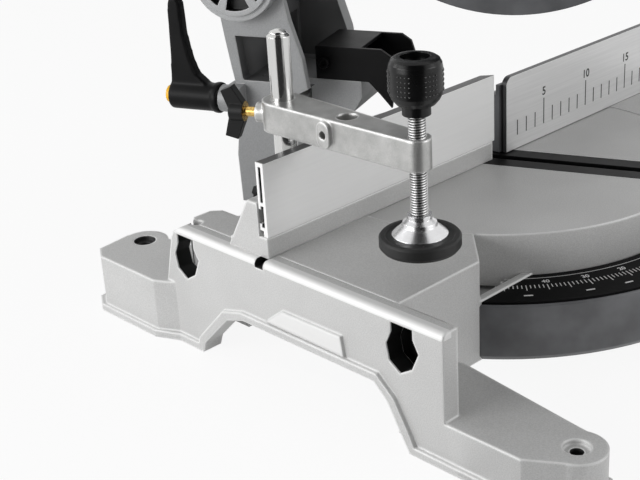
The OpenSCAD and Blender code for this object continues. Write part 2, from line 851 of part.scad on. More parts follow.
module bevel_arm() {
    web_top = pivot_z - 33;
    color(cast_grey)
        on_turntable()
            difference() {
                union() {
                    for (x = [-cheek_left, cheek_right - cheek_t]) {
                        slab_x(x, x + cheek_t, cheek_profile());
                        rod_x(30, x, x + cheek_t, pivot_s, pivot_z);
                    }
                    box(-cheek_left + 1, cheek_right - 1, web_s, arm_back, arm_low_z, web_top);
                    rod_y(trunnion_r, flange_s + 0.3, web_s + 1, 0, table_h);
                    box(-nose_half, nose_half, trunnion_s - 5, web_s + 1, table_h + trunnion_r + 2.5, nose_top);
                    slab_x(-nose_half, nose_half, [
                        [92, nose_top], [92, nose_top - 12], [98, nose_top - 22], [trunnion_s - 4, nose_top - 22],
                        [trunnion_s - 4, nose_top]]);
                    rod_y(9.5, arm_back - 6, arm_back + 9, -lever_x, lever_z);
                    box(-lever_x, -cheek_left + 6, arm_back - 6, arm_back + 5, lever_z - 9.5, lever_z + 9.5);
                }
                slab_x(-cheek_left - 1, -cheek_left + cheek_t - 3, [
                    [arm_back - 1.5, up(0.67)], [arm_back - 26, up(0.67)], [arm_back - 5, up(0.44)]]);
                rod_x(chop_pin_r + fit, -cheek_left - 1, cheek_right + 1, pivot_s, pivot_z);
                rod_y(bevel_pin_r + run, flange_s, web_s + 2, 0, table_h);
                rod_y(bevel_pin_r + 7, web_s + 0.2, arm_back + 1, 0, table_h);
                rod_x(4 + run, cheek_right - cheek_t - 1, cheek_right + 1, pivot_s - 26, pivot_z - 24);
                rod_y(4 + run, arm_back - 5, arm_back + 10, -lever_x, lever_z);
            }
}

// Round cap with windows between its spokes
module pivot_cap() {
    x1 = -cheek_left - 0.05;
    spokes = 6;
    color(cast_grey)
        on_turntable()
            difference() {
                union() {
                    rod_x(cap_r, x1 - 9, x1, pivot_s, pivot_z);
                    rod_x(cap_r - 4, x1 - 11, x1 - 9, pivot_s, pivot_z);
                }
                for (i = [0 : spokes - 1])
                    translate([x1, pivot_s, pivot_z])
                        rotate([i * 360 / spokes, 0, 0])
                            translate([-20, 0, 0])
                                arc_x(0, 360 / spokes - 16, [[13, 0], [24, 0], [24, 15], [13, 15]]);
                rod_x(chop_pin_r + 2, x1 - 4, x1 + 1, pivot_s, pivot_z);
            }
}

module chop_shaft() {
    color(steel)
        on_turntable()
            rod_x(chop_pin_r, -cheek_left - 3, cheek_right + 3, pivot_s, pivot_z);
}

module dust_deflector() {
    side = 2.5;
    chute_h = 23.5;
    back_s = trunnion_s - 8.5;
    color(black)
        on_turntable()
            union() {
                for (x = [-nose_half, nose_half - side])
                    slab_x(x, x + side, [
                        [back_s, nose_top + chute_h], [77, nose_top + chute_h], [70, nose_top + chute_h - 4.5],
                        [66.5, nose_top + 8], [70, nose_top - 17.5], [78.5, nose_top - 8], [86.5, nose_top + 0.1],
                        [back_s, nose_top + 0.1]]);
                box(-nose_half + 1, nose_half - 1, back_s - 4, back_s, nose_top + 0.1, nose_top + chute_h);
                box(-nose_half + 1, nose_half - 1, 92, back_s - 3, nose_top + 0.1, nose_top + 3);
                box(-nose_half + 1, nose_half - 1, 92, back_s - 3, nose_top + chute_h - side, nose_top + chute_h);
            }
}

// Bevel lock lever and its release button
lever_s = arm_back + 9.4;
lever_l = 39;
button_r = 6;

module bevel_lever() {
    end_s = lever_s + lever_l;
    color(black)
        on_turntable()
            difference() {
                union() {
                    rod_y(11, lever_s, lever_s + 4.6, -lever_x, lever_z);
                    rod_y(10, lever_s + 4, end_s, -lever_x, lever_z);
                    slab_x(-lever_x - 4.5, -lever_x + 4.5, [
                        [lever_s + 7, lever_z], [lever_s + 10, lever_z + 10], [lever_s + 18, lever_z + 17],
                        [lever_s + 22, lever_z + 28], [lever_s + 25, lever_z + 44], [lever_s + 26, lever_z + 66],
                        [lever_s + 28, lever_z + 71], [lever_s + 33, lever_z + 71], [lever_s + 35, lever_z + 66],
                        [lever_s + 36.5, lever_z + 30], [end_s - 0.5, lever_z]]);
                }
                rod_y(button_r + gap, end_s - 9, end_s + 1, -lever_x, lever_z);
                rod_y(4 + fit, lever_s - 1, lever_s + 20, -lever_x, lever_z);
            }
    color(steel)
        on_turntable()
            rod_y(4, arm_back - 4, lever_s + 19.8, -lever_x, lever_z);
}

module lever_button() {
    end_s = lever_s + lever_l;
    color(amber)
        on_turntable()
            rod_y(button_r, end_s - 4.5, end_s + 3.5, -lever_x, lever_z);
}

module head_lock_pin() {
    color(steel)
        on_turntable()
            rod_x(4, cheek_right - cheek_t + 1, cheek_right + 8, pivot_s - 26, pivot_z - 24);
    color(black)
        on_turntable()
            rod_x(8, cheek_right + 6, cheek_right + 18, pivot_s - 26, pivot_z - 24);
}

// Head
guard_r = 150;
guard_half = 20;
guard_wall = 3;
blade_r = blade_d / 2;
lower_r = blade_r + 14;
boss_r = 30;
shaft_r = 8;
gear_teeth = 40;
pinion_teeth = 10;
gear_ds = 14;
gear_dz = 52;
gear_distance = sqrt(gear_ds * gear_ds + gear_dz * gear_dz);
gear_module = 2 * gear_distance / (gear_teeth + pinion_teeth);
case_x = 62;
case_wall = 4;
gear_r = gear_module * gear_teeth / 2;
case_r = gear_r + gear_module + case_wall + 2;
barrel_r = 26;
neck_half = guard_half - guard_wall - 0.1;
lock_button_r = 5;
lock_button_x = 34;

module gear_case_outline(shrink) {
    hull_r = motor_r - shrink;
    circle(case_r - shrink);
    translate([gear_ds, gear_dz])
        circle(hull_r);
    translate([gear_ds / 2, gear_dz / 2])
        rotate(-atan2(gear_ds, gear_dz))
            square([2 * (hull_r - 4), gear_distance], center = true);
}

// Outline of (y, z) shapes given as children, thick along x
module plate_x(x0, x1) {
    translate([x0, 0, 0])
        rotate([90, 0, 90])
            linear_extrude(x1 - x0)
                children();
}

module head_casting() {
    color(cast_grey)
        on_head()
            difference() {
                union() {
                    rod_x(barrel_r, -cheek_left + cheek_t + 0.6, cheek_right - cheek_t - 0.6, pivot_s, pivot_z);
                    box(-neck_half, neck_half, centre_s + guard_r - 4, pivot_s - 10, pivot_z - 19, pivot_z + 21);
                }
                rod_x(chop_pin_r + run, -100, 100, pivot_s, pivot_z);
            }
    color(cast_grey)
        on_arbor()
            difference() {
                union() {
                    arc_x(2, 186, [
                        [boss_r - 4, guard_half - guard_wall], [guard_r - guard_wall - 0.5, guard_half - guard_wall],
                        [guard_r - guard_wall - 0.5, -guard_half + guard_wall], [guard_r, -guard_half + guard_wall],
                        [guard_r, guard_half], [boss_r - 4, guard_half]]);
                    rod_x(boss_r, 6.5, guard_half + 1, 0, 0);
                    plate_x(guard_half - 0.5, case_x - 14)
                        gear_case_outline(0);
                }
                plate_x(guard_half + case_wall, case_x)
                    gear_case_outline(case_wall);
                rod_x(13, 9, guard_half + case_wall + 1, 0, 0);
                rod_x(shaft_r + 1.5, 5, 40, 0, 0);
                rod_y(lock_button_r + gap, -case_r - 1, -case_r + case_wall + 2, lock_button_x, 0);
            }
}

module gear_cover() {
    color(cast_grey)
        on_arbor()
            difference() {
                plate_x(case_x - 14 + 0.02, case_x)
                    gear_case_outline(0);
                plate_x(case_x - 15, case_x - case_wall)
                    gear_case_outline(case_wall);
                rod_x(11, case_x - 16, case_x + 1, gear_ds, gear_dz);
            }
    color(cast_grey)
        on_arbor()
            difference() {
                rod_x(16, case_x - 13, case_x - case_wall + 0.5, 0, 0);
                rod_x(13, case_x - 14, case_x - case_wall - 0.5, 0, 0);
            }
}

module guard_cover() {
    color(cast_grey)
        on_arbor()
            arc_x(2, 186, [
                [48, -guard_half], [guard_r, -guard_half], [guard_r, -guard_half + guard_wall - 0.02],
                [48, -guard_half + guard_wall - 0.02]]);
}

module lower_guard() {
    half = 10.5;
    skin = 2;
    hub = boss_r + gap;
    color(dark_grey)
        on_arbor() {
            arc_x(185, 178, [
                [48, -half], [lower_r, -half], [lower_r, half], [hub + 4, half], [hub + 4, half - skin],
                [lower_r - skin, half - skin], [lower_r - skin, -half + skin], [48, -half + skin]]);
            arc_x(0, 360, [
                [hub, half - skin - 0.5], [hub + 9, half - skin - 0.5], [hub + 9, half + 0.5], [hub, half + 0.5]]);
        }
}

function tooth_points(i) = let (a = 360 / blade_teeth, t = i * a, low = blade_r - 7) [
    for (p = [[low, 0.0], [blade_r, 0.06], [blade_r - 1.2, 0.4], [low, 0.75]])
        [p[0] * cos(t - p[1] * a), p[0] * sin(t - p[1] * a)]];

module blade() {
    color(steel)
        on_arbor()
            difference() {
                plate_x(-blade_t / 2, blade_t / 2)
                    polygon([for (i = [0 : blade_teeth - 1]) for (p = tooth_points(-i)) p]);
                rod_x(shaft_r + fit, -5, 5, 0, 0);
            }
}

module blade_flanges() {
    color(steel)
        on_arbor()
            for (x0 = [-blade_t / 2 - 4.5, blade_t / 2])
                difference() {
                    rod_x(22, x0, x0 + 4.5, 0, 0);
                    rod_x(shaft_r + fit, x0 - 1, x0 + 6, 0, 0);
                }
}

module arbor_bolt() {
    x0 = -blade_t / 2 - 4.5;
    color(steel)
        on_arbor() {
            translate([x0 - 7, 0, 0])
                rotate([0, 90, 0])
                    cylinder(r = 9, h = 5.2, $fn = 6);
            rod_x(11, x0 - 1.8, x0, 0, 0);
        }
}

module arbor_shaft() {
    color(steel)
        on_arbor()
            rod_x(shaft_r, -blade_t / 2 - 4.5, case_x - case_wall - 1, 0, 0);
}

// Spur gear outline with straight-sided teeth
module spur(teeth, turn) {
    pitch_r = gear_module * teeth / 2;
    step = 360 / teeth;
    polygon([for (i = [0 : teeth - 1]) for (p = [[-1.15, -0.34], [0.85, -0.12], [0.85, 0.12], [-1.15, 0.34]])
        let (r = pitch_r + p[0] * gear_module, a = turn + (i + p[1]) * step)
            [r * cos(a), r * sin(a)]]);
}

gear_x0 = 30;
gear_x1 = 42;
mesh_turn = atan2(gear_dz, gear_ds);

module driven_gear() {
    color(steel)
        on_arbor()
            difference() {
                plate_x(gear_x0, gear_x1)
                    spur(gear_teeth, mesh_turn);
                rod_x(shaft_r + fit, gear_x0 - 1, gear_x1 + 1, 0, 0);
            }
}

module armature() {
    color(steel)
        on_arbor()
            translate([0, gear_ds, gear_dz]) {
                plate_x(gear_x0 - 1, gear_x1 + 1)
                    spur(pinion_teeth, mesh_turn + 180 + 180 / pinion_teeth);
                rod_x(5, gear_x1, case_x + motor_l + 12, 0, 0);
                rod_x(28, case_x + 24, case_x + motor_l - 26, 0, 0);
                rod_x(14, case_x + motor_l - 22, case_x + motor_l - 6, 0, 0);
            }
}

module bearing(x0, inner, outer, y, z) {
    difference() {
        rod_x(outer - fit, x0, x0 + 7, y, z);
        rod_x(inner + run, x0 - 1, x0 + 8, y, z);
    }
}

module bearings() {
    color(steel)
        on_arbor() {
            bearing(13, shaft_r, 13, 0, 0);
            bearing(case_x - case_wall - 7.8, shaft_r, 13, 0, 0);
            bearing(case_x - 4, 5, 11, gear_ds, gear_dz);
            bearing(case_x + motor_l + 4, 5, 11, gear_ds, gear_dz);
        }
}

module motor_housing() {
    color(black)
        on_arbor()
            difference() {
                union() {
                    rod_x(motor_r, case_x + 0.02, case_x + motor_l, gear_ds, gear_dz);
                    for (a = [0 : 30 : 330])
                        translate([case_x + 8, gear_ds, gear_dz])
                            rotate([a, 0, 0])
                                box(0, motor_l - 16, motor_r - 2, motor_r + 2, -2, 2);
                }
                rod_x(motor_r - 4, case_x + 8, case_x + motor_l + 1, gear_ds, gear_dz);
                rod_x(11, case_x - 1, case_x + 9, gear_ds, gear_dz);
                for (a = [70, 250])
                    translate([case_x + motor_l - 14, gear_ds, gear_dz])
                        rotate([a, 0, 0])
                            rod_y(8 + fit, 0, motor_r + 10, 0, 0);
            }
}

module motor_cap() {
    x0 = case_x + motor_l + 0.02;
    slots = 12;
    color(black)
        on_arbor()
            translate([0, gear_ds, gear_dz])
                difference() {
                    union() {
                        rotate([90, 0, 90])
                            translate([0, 0, x0])
                                rotate_extrude()
                                    polygon([[0, 0], [motor_r, 0], [motor_r, 8], [motor_r - 8, 19], [0, 20]]);
                    }
                    rod_x(motor_r - 6, x0 - 1, x0 + 4, 0, 0);
                    rod_x(11, x0, x0 + 13, 0, 0);
                    for (i = [0 : slots - 1])
                        rotate([i * 360 / slots, 0, 0])
                            box(x0 + 1, x0 + 22, 18, 33, -2, 2);
                }
}

module brush_caps() {
    color(black)
        on_arbor()
            for (a = [70, 250])
                translate([case_x + motor_l - 14, gear_ds, gear_dz])
                    rotate([a, 0, 0])
                        rod_y(8, motor_r - 4, motor_r + 3, 0, 0);
}

module cord_gland() {
    cord_r = 3.5;
    y0 = gear_ds + motor_r;
    z = gear_dz - 12;
    x = case_x + 34;
    color(black)
        on_arbor()
            difference() {
                union() {
                    rod_y(8, y0 - 5, y0 + 8, x, z);
                    rod_y(6, y0 + 7, y0 + 16, x, z);
                }
                rod_y(cord_r, y0 + 4, y0 + 17, x, z);
                rod_y(cord_r + 1, y0 + 2, y0 + 5, x, z);
                rod_x(motor_r + 0.05, case_x, case_x + motor_l, gear_ds, gear_dz);
            }
}

// Handle
handle_x0 = guard_half + 0.05;
handle_w = 28;
handle_s = -166;
handle_up = 106;
grip_t = 20;
loop_l = 108;
loop_h = 84;
grip_s = handle_s - loop_l / 2 + grip_t;
handle_top = handle_up + loop_h / 2;
trigger_half = 7;
trigger_low = handle_up - 8;
trigger_high = handle_up + 14;
lock_off_r = 6;
// Foot of the bracket that joins the handle to the guard
bracket_front = -98;
bracket_back = -62;
bracket_low = 38;

module handle() {
    xm = handle_x0 + handle_w / 2;
    color(black)
        on_arbor()
            difference() {
                union() {
                    translate([0, handle_s, handle_up])
                        plate_x(handle_x0, handle_x0 + handle_w)
                            difference() {
                                round_rect(loop_l, loop_h, 24);
                                round_rect(loop_l - 2 * grip_t, loop_h - 2 * grip_t, 14);
                            }
                    slab_x(handle_x0, handle_x0 + handle_w, [
                        [handle_s + 20, handle_up - loop_h / 2], [handle_s + 24, handle_up - loop_h / 2 + 14],
                        [handle_s + 52, handle_up - 6], [bracket_back, handle_up - 36], [bracket_back, bracket_low],
                        [bracket_front, bracket_low]]);
                }
                box(xm - trigger_half - gap, xm + trigger_half + gap, grip_s - 9, grip_s + 10,
                    trigger_low - gap, trigger_high + gap);
                rod_z(lock_off_r + gap, handle_top - 9, handle_top + 1, xm, handle_s);
            }
}

module trigger() {
    xm = handle_x0 + handle_w / 2;
    color(black)
        on_arbor()
            slab_x(xm - trigger_half, xm + trigger_half, [
                [grip_s - 3.5, trigger_low], [grip_s + 2, trigger_low], [grip_s + 5, trigger_low + 8],
                [grip_s + 7, trigger_high - 3], [grip_s + 5, trigger_high], [grip_s - 3.5, trigger_high]]);
}

module lock_off_button() {
    xm = handle_x0 + handle_w / 2;
    color(amber)
        on_arbor()
            rod_z(lock_off_r, handle_top - 4.5, handle_top + 3.5, xm, handle_s);
}

module spindle_lock() {
    color(black)
        on_arbor()
            rod_y(lock_button_r, -case_r - 5, -case_r + 2.5, lock_button_x, 0);
}

base_casting();
left_end_casting();
right_end_casting();
scale_ring();
mitre_scale();
mitre_pivot_bolt();
left_fence_casting();
right_fence();
right_fence_backing();
fence_screws();
fence_lock_bolt();
fence_lock_knob();
sliding_fence();
clamp_post();
post_lock_screw();
clamp_arm();
wing_screw();
clamp_screw();
clamp_knob();
clamp_foot();
clamp_pad();
turntable();
kerf_plates();
mitre_lock_rod();
mitre_lock_knob();
detent_lever();
detent_pin();
bevel_pivot_bolt();
bevel_arm();
pivot_cap();
chop_shaft();
dust_deflector();
bevel_lever();
lever_button();
head_lock_pin();
head_casting();
guard_cover();
lower_guard();
blade();
blade_flanges();
arbor_bolt();
arbor_shaft();
driven_gear();
bearings();
armature();
gear_cover();
motor_housing();
motor_cap();
brush_caps();
cord_gland();
handle();
trigger();
lock_off_button();
spindle_lock();
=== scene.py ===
"""Looks of a mitre saw: materials, markings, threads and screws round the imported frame."""
import math

import bmesh
import bpy
from mathutils import Matrix, Vector

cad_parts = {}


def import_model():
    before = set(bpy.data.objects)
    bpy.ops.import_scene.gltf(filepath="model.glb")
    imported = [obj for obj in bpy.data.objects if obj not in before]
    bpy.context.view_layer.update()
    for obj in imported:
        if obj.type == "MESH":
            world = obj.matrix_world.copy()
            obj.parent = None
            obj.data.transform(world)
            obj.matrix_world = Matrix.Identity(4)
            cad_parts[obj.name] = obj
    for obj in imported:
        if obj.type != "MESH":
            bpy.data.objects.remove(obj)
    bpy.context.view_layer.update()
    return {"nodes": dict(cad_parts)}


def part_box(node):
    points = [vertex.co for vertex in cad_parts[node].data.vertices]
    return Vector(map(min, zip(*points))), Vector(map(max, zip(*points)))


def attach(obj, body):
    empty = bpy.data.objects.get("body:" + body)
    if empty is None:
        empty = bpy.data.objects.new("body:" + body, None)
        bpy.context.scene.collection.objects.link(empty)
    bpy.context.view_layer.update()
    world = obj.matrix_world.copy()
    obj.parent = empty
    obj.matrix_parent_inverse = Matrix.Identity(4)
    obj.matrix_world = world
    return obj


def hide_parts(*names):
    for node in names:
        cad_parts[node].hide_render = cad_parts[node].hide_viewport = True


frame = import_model()
NODES = frame["nodes"]
MM = 0.001

# Sizes shared with the solids, in millimetres and radians
TABLE_H = 82.0
FENCE_Y = 24.0
MITRE_Y = FENCE_Y
MITRE_REST = math.radians(22.5)
HEAD_LIFT = math.radians(32.6)
SCALE_TOP = 54.5
PIVOT_S = 166.0
PIVOT_Z = 216.0
CHOP_R = 204.2
FOOT_X = 193.5
FOOT_Y = 183.0
POST_X = -183.0
POST_Y = 39.0
POST_CHAMFER = 1.5
WING_TURN = math.radians(27)
WING_REACH = 24.3
KEYHOLE_SPANS = ((-101.0, -74.0), (84.5, 107.8))

# Thickness of printed marks and numbers, in millimetres
INK_T = 0.10

# Regions with a tint, as spans across, along and up in millimetres, where None is any place.
# Those of the end castings count across from the saw's middle, and those of the cap and the arm lie in
# the turntable's own frame.
# Painted shade inside the keyholes and the notch of the end walls
END_KEYHOLES = [((209.9, 220.6), (y0 - 1, y1 + 4), (46.5, 78.2)) for y0, y1 in KEYHOLE_SPANS]
END_NOTCH = ((212.3, 222.0), (23.9, 31.1), (76.8, 81.9))
# Painted highlight along the top strip of the end walls
END_STRIP = ((214.5, 222.0), None, (77.9, 82.4))
END_PAD = ((223.2, 223.8), (-44, 24), (42, 57))
# Painted shade inside the windows of the pivot cap
CAP_WINDOWS = ((-60.9, -54.8), None, None)
# Painted shade in the arm's window and in the hollow between its cheeks
ARM_OPENING = ((-49.4, 30.2), (142.5, 172.9), (139.9, 172.2))
ARM_HOLLOW = ((-44.6, 30.2), None, (137.0, 260.0))
# Painted shade inside the hollows of the fence extrusion
FENCE_HOLLOW = ((-214.6, -16), (FENCE_Y + 2.1, FENCE_Y + 4.9), (TABLE_H + 18.9, TABLE_H + 57.7))
FENCE_TOP = ((-214.4, 0), None, (TABLE_H + 59.9, TABLE_H + 70))

# Round regions: the two coordinates of a centre and a radius, in millimetres
# Painted shade inside the bolt holes of the end castings
END_BOLT_HOLES = ((FOOT_X, -FOOT_Y, 3.75), (FOOT_X, FOOT_Y, 7.6), (208.0, 102.0, 4.1))
# Round the pivot cap's spokes, where its windows get painted shade
CAP_SPOKES = (PIVOT_S, PIVOT_Z, 25)

# Cuts in the bevel arm, in the turntable's own frame: a span across and an outline of (along, up) points
WINDOW_CUT = ((-51, 26), ((172.4, 171.6), (143, 171.6), (143, 140.4), (168.3, 140.4)))
CHEEK_CUT = ((-44.8, -37), ((100, 137), (142, 137), (142, 184), (139, 190), (134, 206), (100, 206)))

# Colours
BLACK = (0.004, 0.004, 0.0043)
MID_GREY = (0.38, 0.385, 0.39)
LIGHT_GREY = (0.60, 0.60, 0.595)
BRIGHT_GREY = (0.80, 0.80, 0.795)
# Near white of a painted highlight laid along the castings' edges
EDGE_HIGHLIGHT = (0.97, 0.97, 0.965)
DARK_BRASS = (0.52, 0.33, 0.09)
LIGHT_BRASS = (0.78, 0.54, 0.18)

# Parts of a noise's range over which a colour changes
NARROW = (0.35, 0.65)
WIDE = (0.3, 0.7)

# Scales that draw a noise out along one axis
ALONG_X = (0.02, 1.0, 1.0)
ALONG_Z = (1.0, 1.0, 0.02)

# Camera, solved from the photograph, in degrees and millimetres
CAMERA_AZIMUTH = -42.58
CAMERA_ELEVATION = 24.196
CAMERA_ROLL = -3.602
CAMERA_TARGET = (-177.525, 20.027, 82.0)
CAMERA_DISTANCE = 804.61
CAMERA_LENS = 74.22
SENSOR_WIDTH = 36.0

# Studio, with lengths in metres and powers in watts
WORLD_FILL = 0.3
FLOOR_HALF = 12.0
FLOOR_DROP = 0.0002
FLOOR_GLOW = 0.91
LIGHT_AIM = (-0.1, 0.0, 0.12)

# Name, place, size and power of each light
LIGHTS = (
    ("key_light", (-2.0, 0.6, 0.7), (1.3, 1.0), 26),
    ("fill_light", (0.8, -1.9, 0.75), (1.2, 0.8), 13),
    ("rim_light", (-1.15, 1.6, 1.2), (0.35, 0.3), 5),
)


def grey(value):
    """Colour with the same red, green and blue."""
    return (value, value, value)


def scaled(values, factor):
    """Each value times a factor."""
    return tuple(value * factor for value in values)


def polar(r, degree):
    """Point on a circle round the origin."""
    return r * math.cos(math.radians(degree)), r * math.sin(math.radians(degree))


# Frames of the saw

def turntable_matrix():
    """Row frame matrix of the turntable's own frame, with lengths in metres."""
    return Matrix.Translation((0, MITRE_Y * MM, 0)) @ Matrix.Rotation(MITRE_REST, 4, "Z")


def arbor_matrix():
    """Row frame matrix of the level head's frame, with its origin on the arbor."""
    lift = Matrix.Rotation(-HEAD_LIFT, 4, "X")
    pivot = Matrix.Translation((0, PIVOT_S * MM, PIVOT_Z * MM))
    back = Matrix.Translation((0, -CHOP_R * MM, 0))
    return turntable_matrix() @ pivot @ lift @ back


# Shader nodes

def shader(name):
    """New material with its node tree and its surface."""
    material = bpy.data.materials.new(name)
    material.use_nodes = True
    tree = material.node_tree
    return material, tree, tree.nodes["Principled BSDF"]


def own_place(tree):
    """Coordinates that move with the object, which for the frame's nodes are the row frame's."""
    return tree.nodes.new("ShaderNodeTexCoord").outputs["Object"]


def noise(tree, vector, scale, detail, stretch=None):
    """Noise at a number of cycles per metre, stretched by a scale along each axis if one is given."""
    if stretch:
        mapping = tree.nodes.new("ShaderNodeMapping")
        mapping.inputs["Scale"].default_value = stretch
        tree.links.new(vector, mapping.inputs["Vector"])
        vector = mapping.outputs["Vector"]
    node = tree.nodes.new("ShaderNodeTexNoise")
    node.inputs["Scale"].default_value = scale
    node.inputs["Detail"].default_value = detail
    tree.links.new(vector, node.inputs["Vector"])
    return node.outputs["Fac"]


def ramp(tree, fac, low, high, span):
    """Colour from low to high over a span of a value."""
    node = tree.nodes.new("ShaderNodeValToRGB")
    for element, colour, position in zip(node.color_ramp.elements, (low, high), span):
        element.position = position
        element.color = (*colour, 1)
    tree.links.new(fac, node.inputs["Fac"])
    return node.outputs["Color"]


def spread(tree, fac, low, high, span=(0.0, 1.0)):
    """Number from low to high over a span of a value."""
    node = tree.nodes.new("ShaderNodeMapRange")
    for socket, value in zip(("From Min", "From Max", "To Min", "To Max"), (*span, low, high)):
        node.inputs[socket].default_value = value
    tree.links.new(fac, node.inputs["Value"])
    return node.outputs["Result"]


def multiply(tree, a, b):
    """Product of two colours."""
    node = tree.nodes.new("ShaderNodeMix")
    node.data_type = "RGBA"
    node.blend_type = "MULTIPLY"
    node.inputs["Factor"].default_value = 1.0
    tree.links.new(a, node.inputs["A"])
    tree.links.new(b, node.inputs["B"])
    return node.outputs["Result"]


def tint(tree, mask, base, colour):
    """A colour in place of the base where the mask is 1."""
    node = tree.nodes.new("ShaderNodeMix")
    node.data_type = "RGBA"
    node.inputs["B"].default_value = (*colour, 1)
    tree.links.new(mask, node.inputs["Factor"])
    tree.links.new(base, node.inputs["A"])
    return node.outputs["Result"]


def arithmetic(tree, operation, a, b, c=None):
    """Math node on sockets or plain numbers."""
    node = tree.nodes.new("ShaderNodeMath")
    node.operation = operation
    for socket, value in zip(node.inputs, (a, b, c)):
        if isinstance(value, (int, float)):
            socket.default_value = value
        elif value is not None:
            tree.links.new(value, socket)
    return node.outputs["Value"]


def dot_product(tree, a, b):
    """Dot product of a vector socket with another one, or with a plain direction."""
    node = tree.nodes.new("ShaderNodeVectorMath")
    node.operation = "DOT_PRODUCT"
    tree.links.new(a, node.inputs[0])
    if isinstance(b, tuple):
        node.inputs[1].default_value = b
    else:
        tree.links.new(b, node.inputs[1])
    return node.outputs["Value"]


def rounded_normal(tree, radius, samples):
    """Normal that turns smoothly over each edge, within a radius in millimetres."""
    bevel = tree.nodes.new("ShaderNodeBevel")
    bevel.samples = samples
    bevel.inputs["Radius"].default_value = radius * MM
    return bevel.outputs["Normal"]


def edge_mask(tree, radius):
    """About 1 along each edge, within a radius in millimetres, and 0 on the faces."""
    flat, turned = 0.992, 0.88
    surface = tree.nodes.new("ShaderNodeNewGeometry")
    match = dot_product(tree, rounded_normal(tree, radius, samples=8), surface.outputs["Normal"])
    return spread(tree, match, 0.0, 1.0, (flat, turned))


def relief(tree, bsdf, height, strength, depth, edge):
    """Bump from a height, on normals that round each edge by a radius in millimetres, if it isn't 0."""
    bump = tree.nodes.new("ShaderNodeBump")
    bump.inputs["Strength"].default_value = strength
    bump.inputs["Distance"].default_value = depth * MM
    tree.links.new(height, bump.inputs["Height"])
    if edge:
        tree.links.new(rounded_normal(tree, edge, samples=6), bump.inputs["Normal"])
    tree.links.new(bump.outputs["Normal"], bsdf.inputs["Normal"])


# Masks, marks, and painted shade and highlights by place

def along(tree, vector, direction, offset=0.0):
    """Distance along a direction, less an offset in millimetres."""
    return arithmetic(tree, "SUBTRACT", dot_product(tree, vector, direction), offset * MM)


def row_axes(tree, at):
    """The three coordinates of the row frame."""
    split = tree.nodes.new("ShaderNodeSeparateXYZ")
    tree.links.new(at, split.inputs["Vector"])
    return split.outputs["X"], split.outputs["Y"], split.outputs["Z"]


def turntable_axes(tree, at):
    """Distances across, along and above the turntable, which is swung at rest."""
    c, n = math.cos(MITRE_REST), math.sin(MITRE_REST)
    x = along(tree, at, (c, n, 0.0), MITRE_Y * n)
    s = along(tree, at, (-n, c, 0.0), MITRE_Y * c)
    return x, s, along(tree, at, (0.0, 0.0, 1.0))


def inside(tree, axes, region):
    """1 where each coordinate lies in its span of a region."""
    mask = 1.0
    for value, span in zip(axes, region):
        if span:
            low, high = span
            near = arithmetic(tree, "COMPARE", value, (low + high) / 2 * MM, (high - low) / 2 * MM)
            mask = arithmetic(tree, "MULTIPLY", mask, near)
    return mask


def inside_circle(tree, x, y, circle):
    """1 within a circle in the plane of two coordinates."""
    x0, y0, radius = circle
    dx = arithmetic(tree, "SUBTRACT", x, x0 * MM)
    dy = arithmetic(tree, "SUBTRACT", y, y0 * MM)
    square = arithmetic(tree, "MULTIPLY_ADD", dx, dx, arithmetic(tree, "MULTIPLY", dy, dy))
    return arithmetic(tree, "LESS_THAN", square, (radius * MM) ** 2)


def either(tree, *masks):
    """1 where any of the masks is."""
    joined = masks[0]
    for mask in masks[1:]:
        joined = arithmetic(tree, "MAXIMUM", joined, mask)
    return joined


def end_marks(tree, at, base):
    """Painted shade in keyholes, bolt holes and notch, painted highlight on top strip, bright label pad,
    both ends.
    """
    x, y, z = row_axes(tree, at)
    out = arithmetic(tree, "ABSOLUTE", x, 0.0)
    cuts = [inside(tree, (out, y, z), region) for region in (*END_KEYHOLES, END_NOTCH)]
    bolts = [inside_circle(tree, out, y, circle) for circle in END_BOLT_HOLES]
    # Painted highlight along the top strip
    base = tint(tree, inside(tree, (out, y, z), END_STRIP), base, BRIGHT_GREY)
    # Painted shade in the keyholes, the notch and the bolt holes
    base = tint(tree, either(tree, *cuts, *bolts), base, grey(0.016))
    return tint(tree, inside(tree, (out, y, z), END_PAD), base, BRIGHT_GREY)


def cap_marks(tree, at, base):
    """Painted shade inside the windows between the pivot cap's spokes."""
    x, s, z = turntable_axes(tree, at)
    deep = inside(tree, (x, s, z), CAP_WINDOWS)
    mask = arithmetic(tree, "MULTIPLY", inside_circle(tree, s, z, CAP_SPOKES), deep)
    return tint(tree, mask, base, grey(0.012))


def arm_marks(tree, at, base):
    """Darker inside the arm's window and between its cheeks: painted shade."""
    axes = turntable_axes(tree, at)
    mask = either(tree, inside(tree, axes, ARM_OPENING), inside(tree, axes, ARM_HOLLOW))
    return tint(tree, mask, base, (0.12, 0.121, 0.123))


def plate_marks(tree, at, base):
    """Dark on the edges and the back of the right fence, so that only its ground face is bright."""
    face_t = 0.35
    back = arithmetic(tree, "GREATER_THAN", along(tree, at, (0.0, 1.0, 0.0), FENCE_Y), face_t * MM)
    return tint(tree, back, base, (0.03, 0.03, 0.032))


def fence_marks(tree, at, base):
    """Painted shade inside the hollows of the fence extrusion, and dark along its top."""
    axes = row_axes(tree, at)
    base = tint(tree, inside(tree, axes, FENCE_TOP), base, (0.09, 0.09, 0.092))
    # Painted shade inside the hollows
    return tint(tree, inside(tree, axes, FENCE_HOLLOW), base, grey(0.01))


# Kinds of material

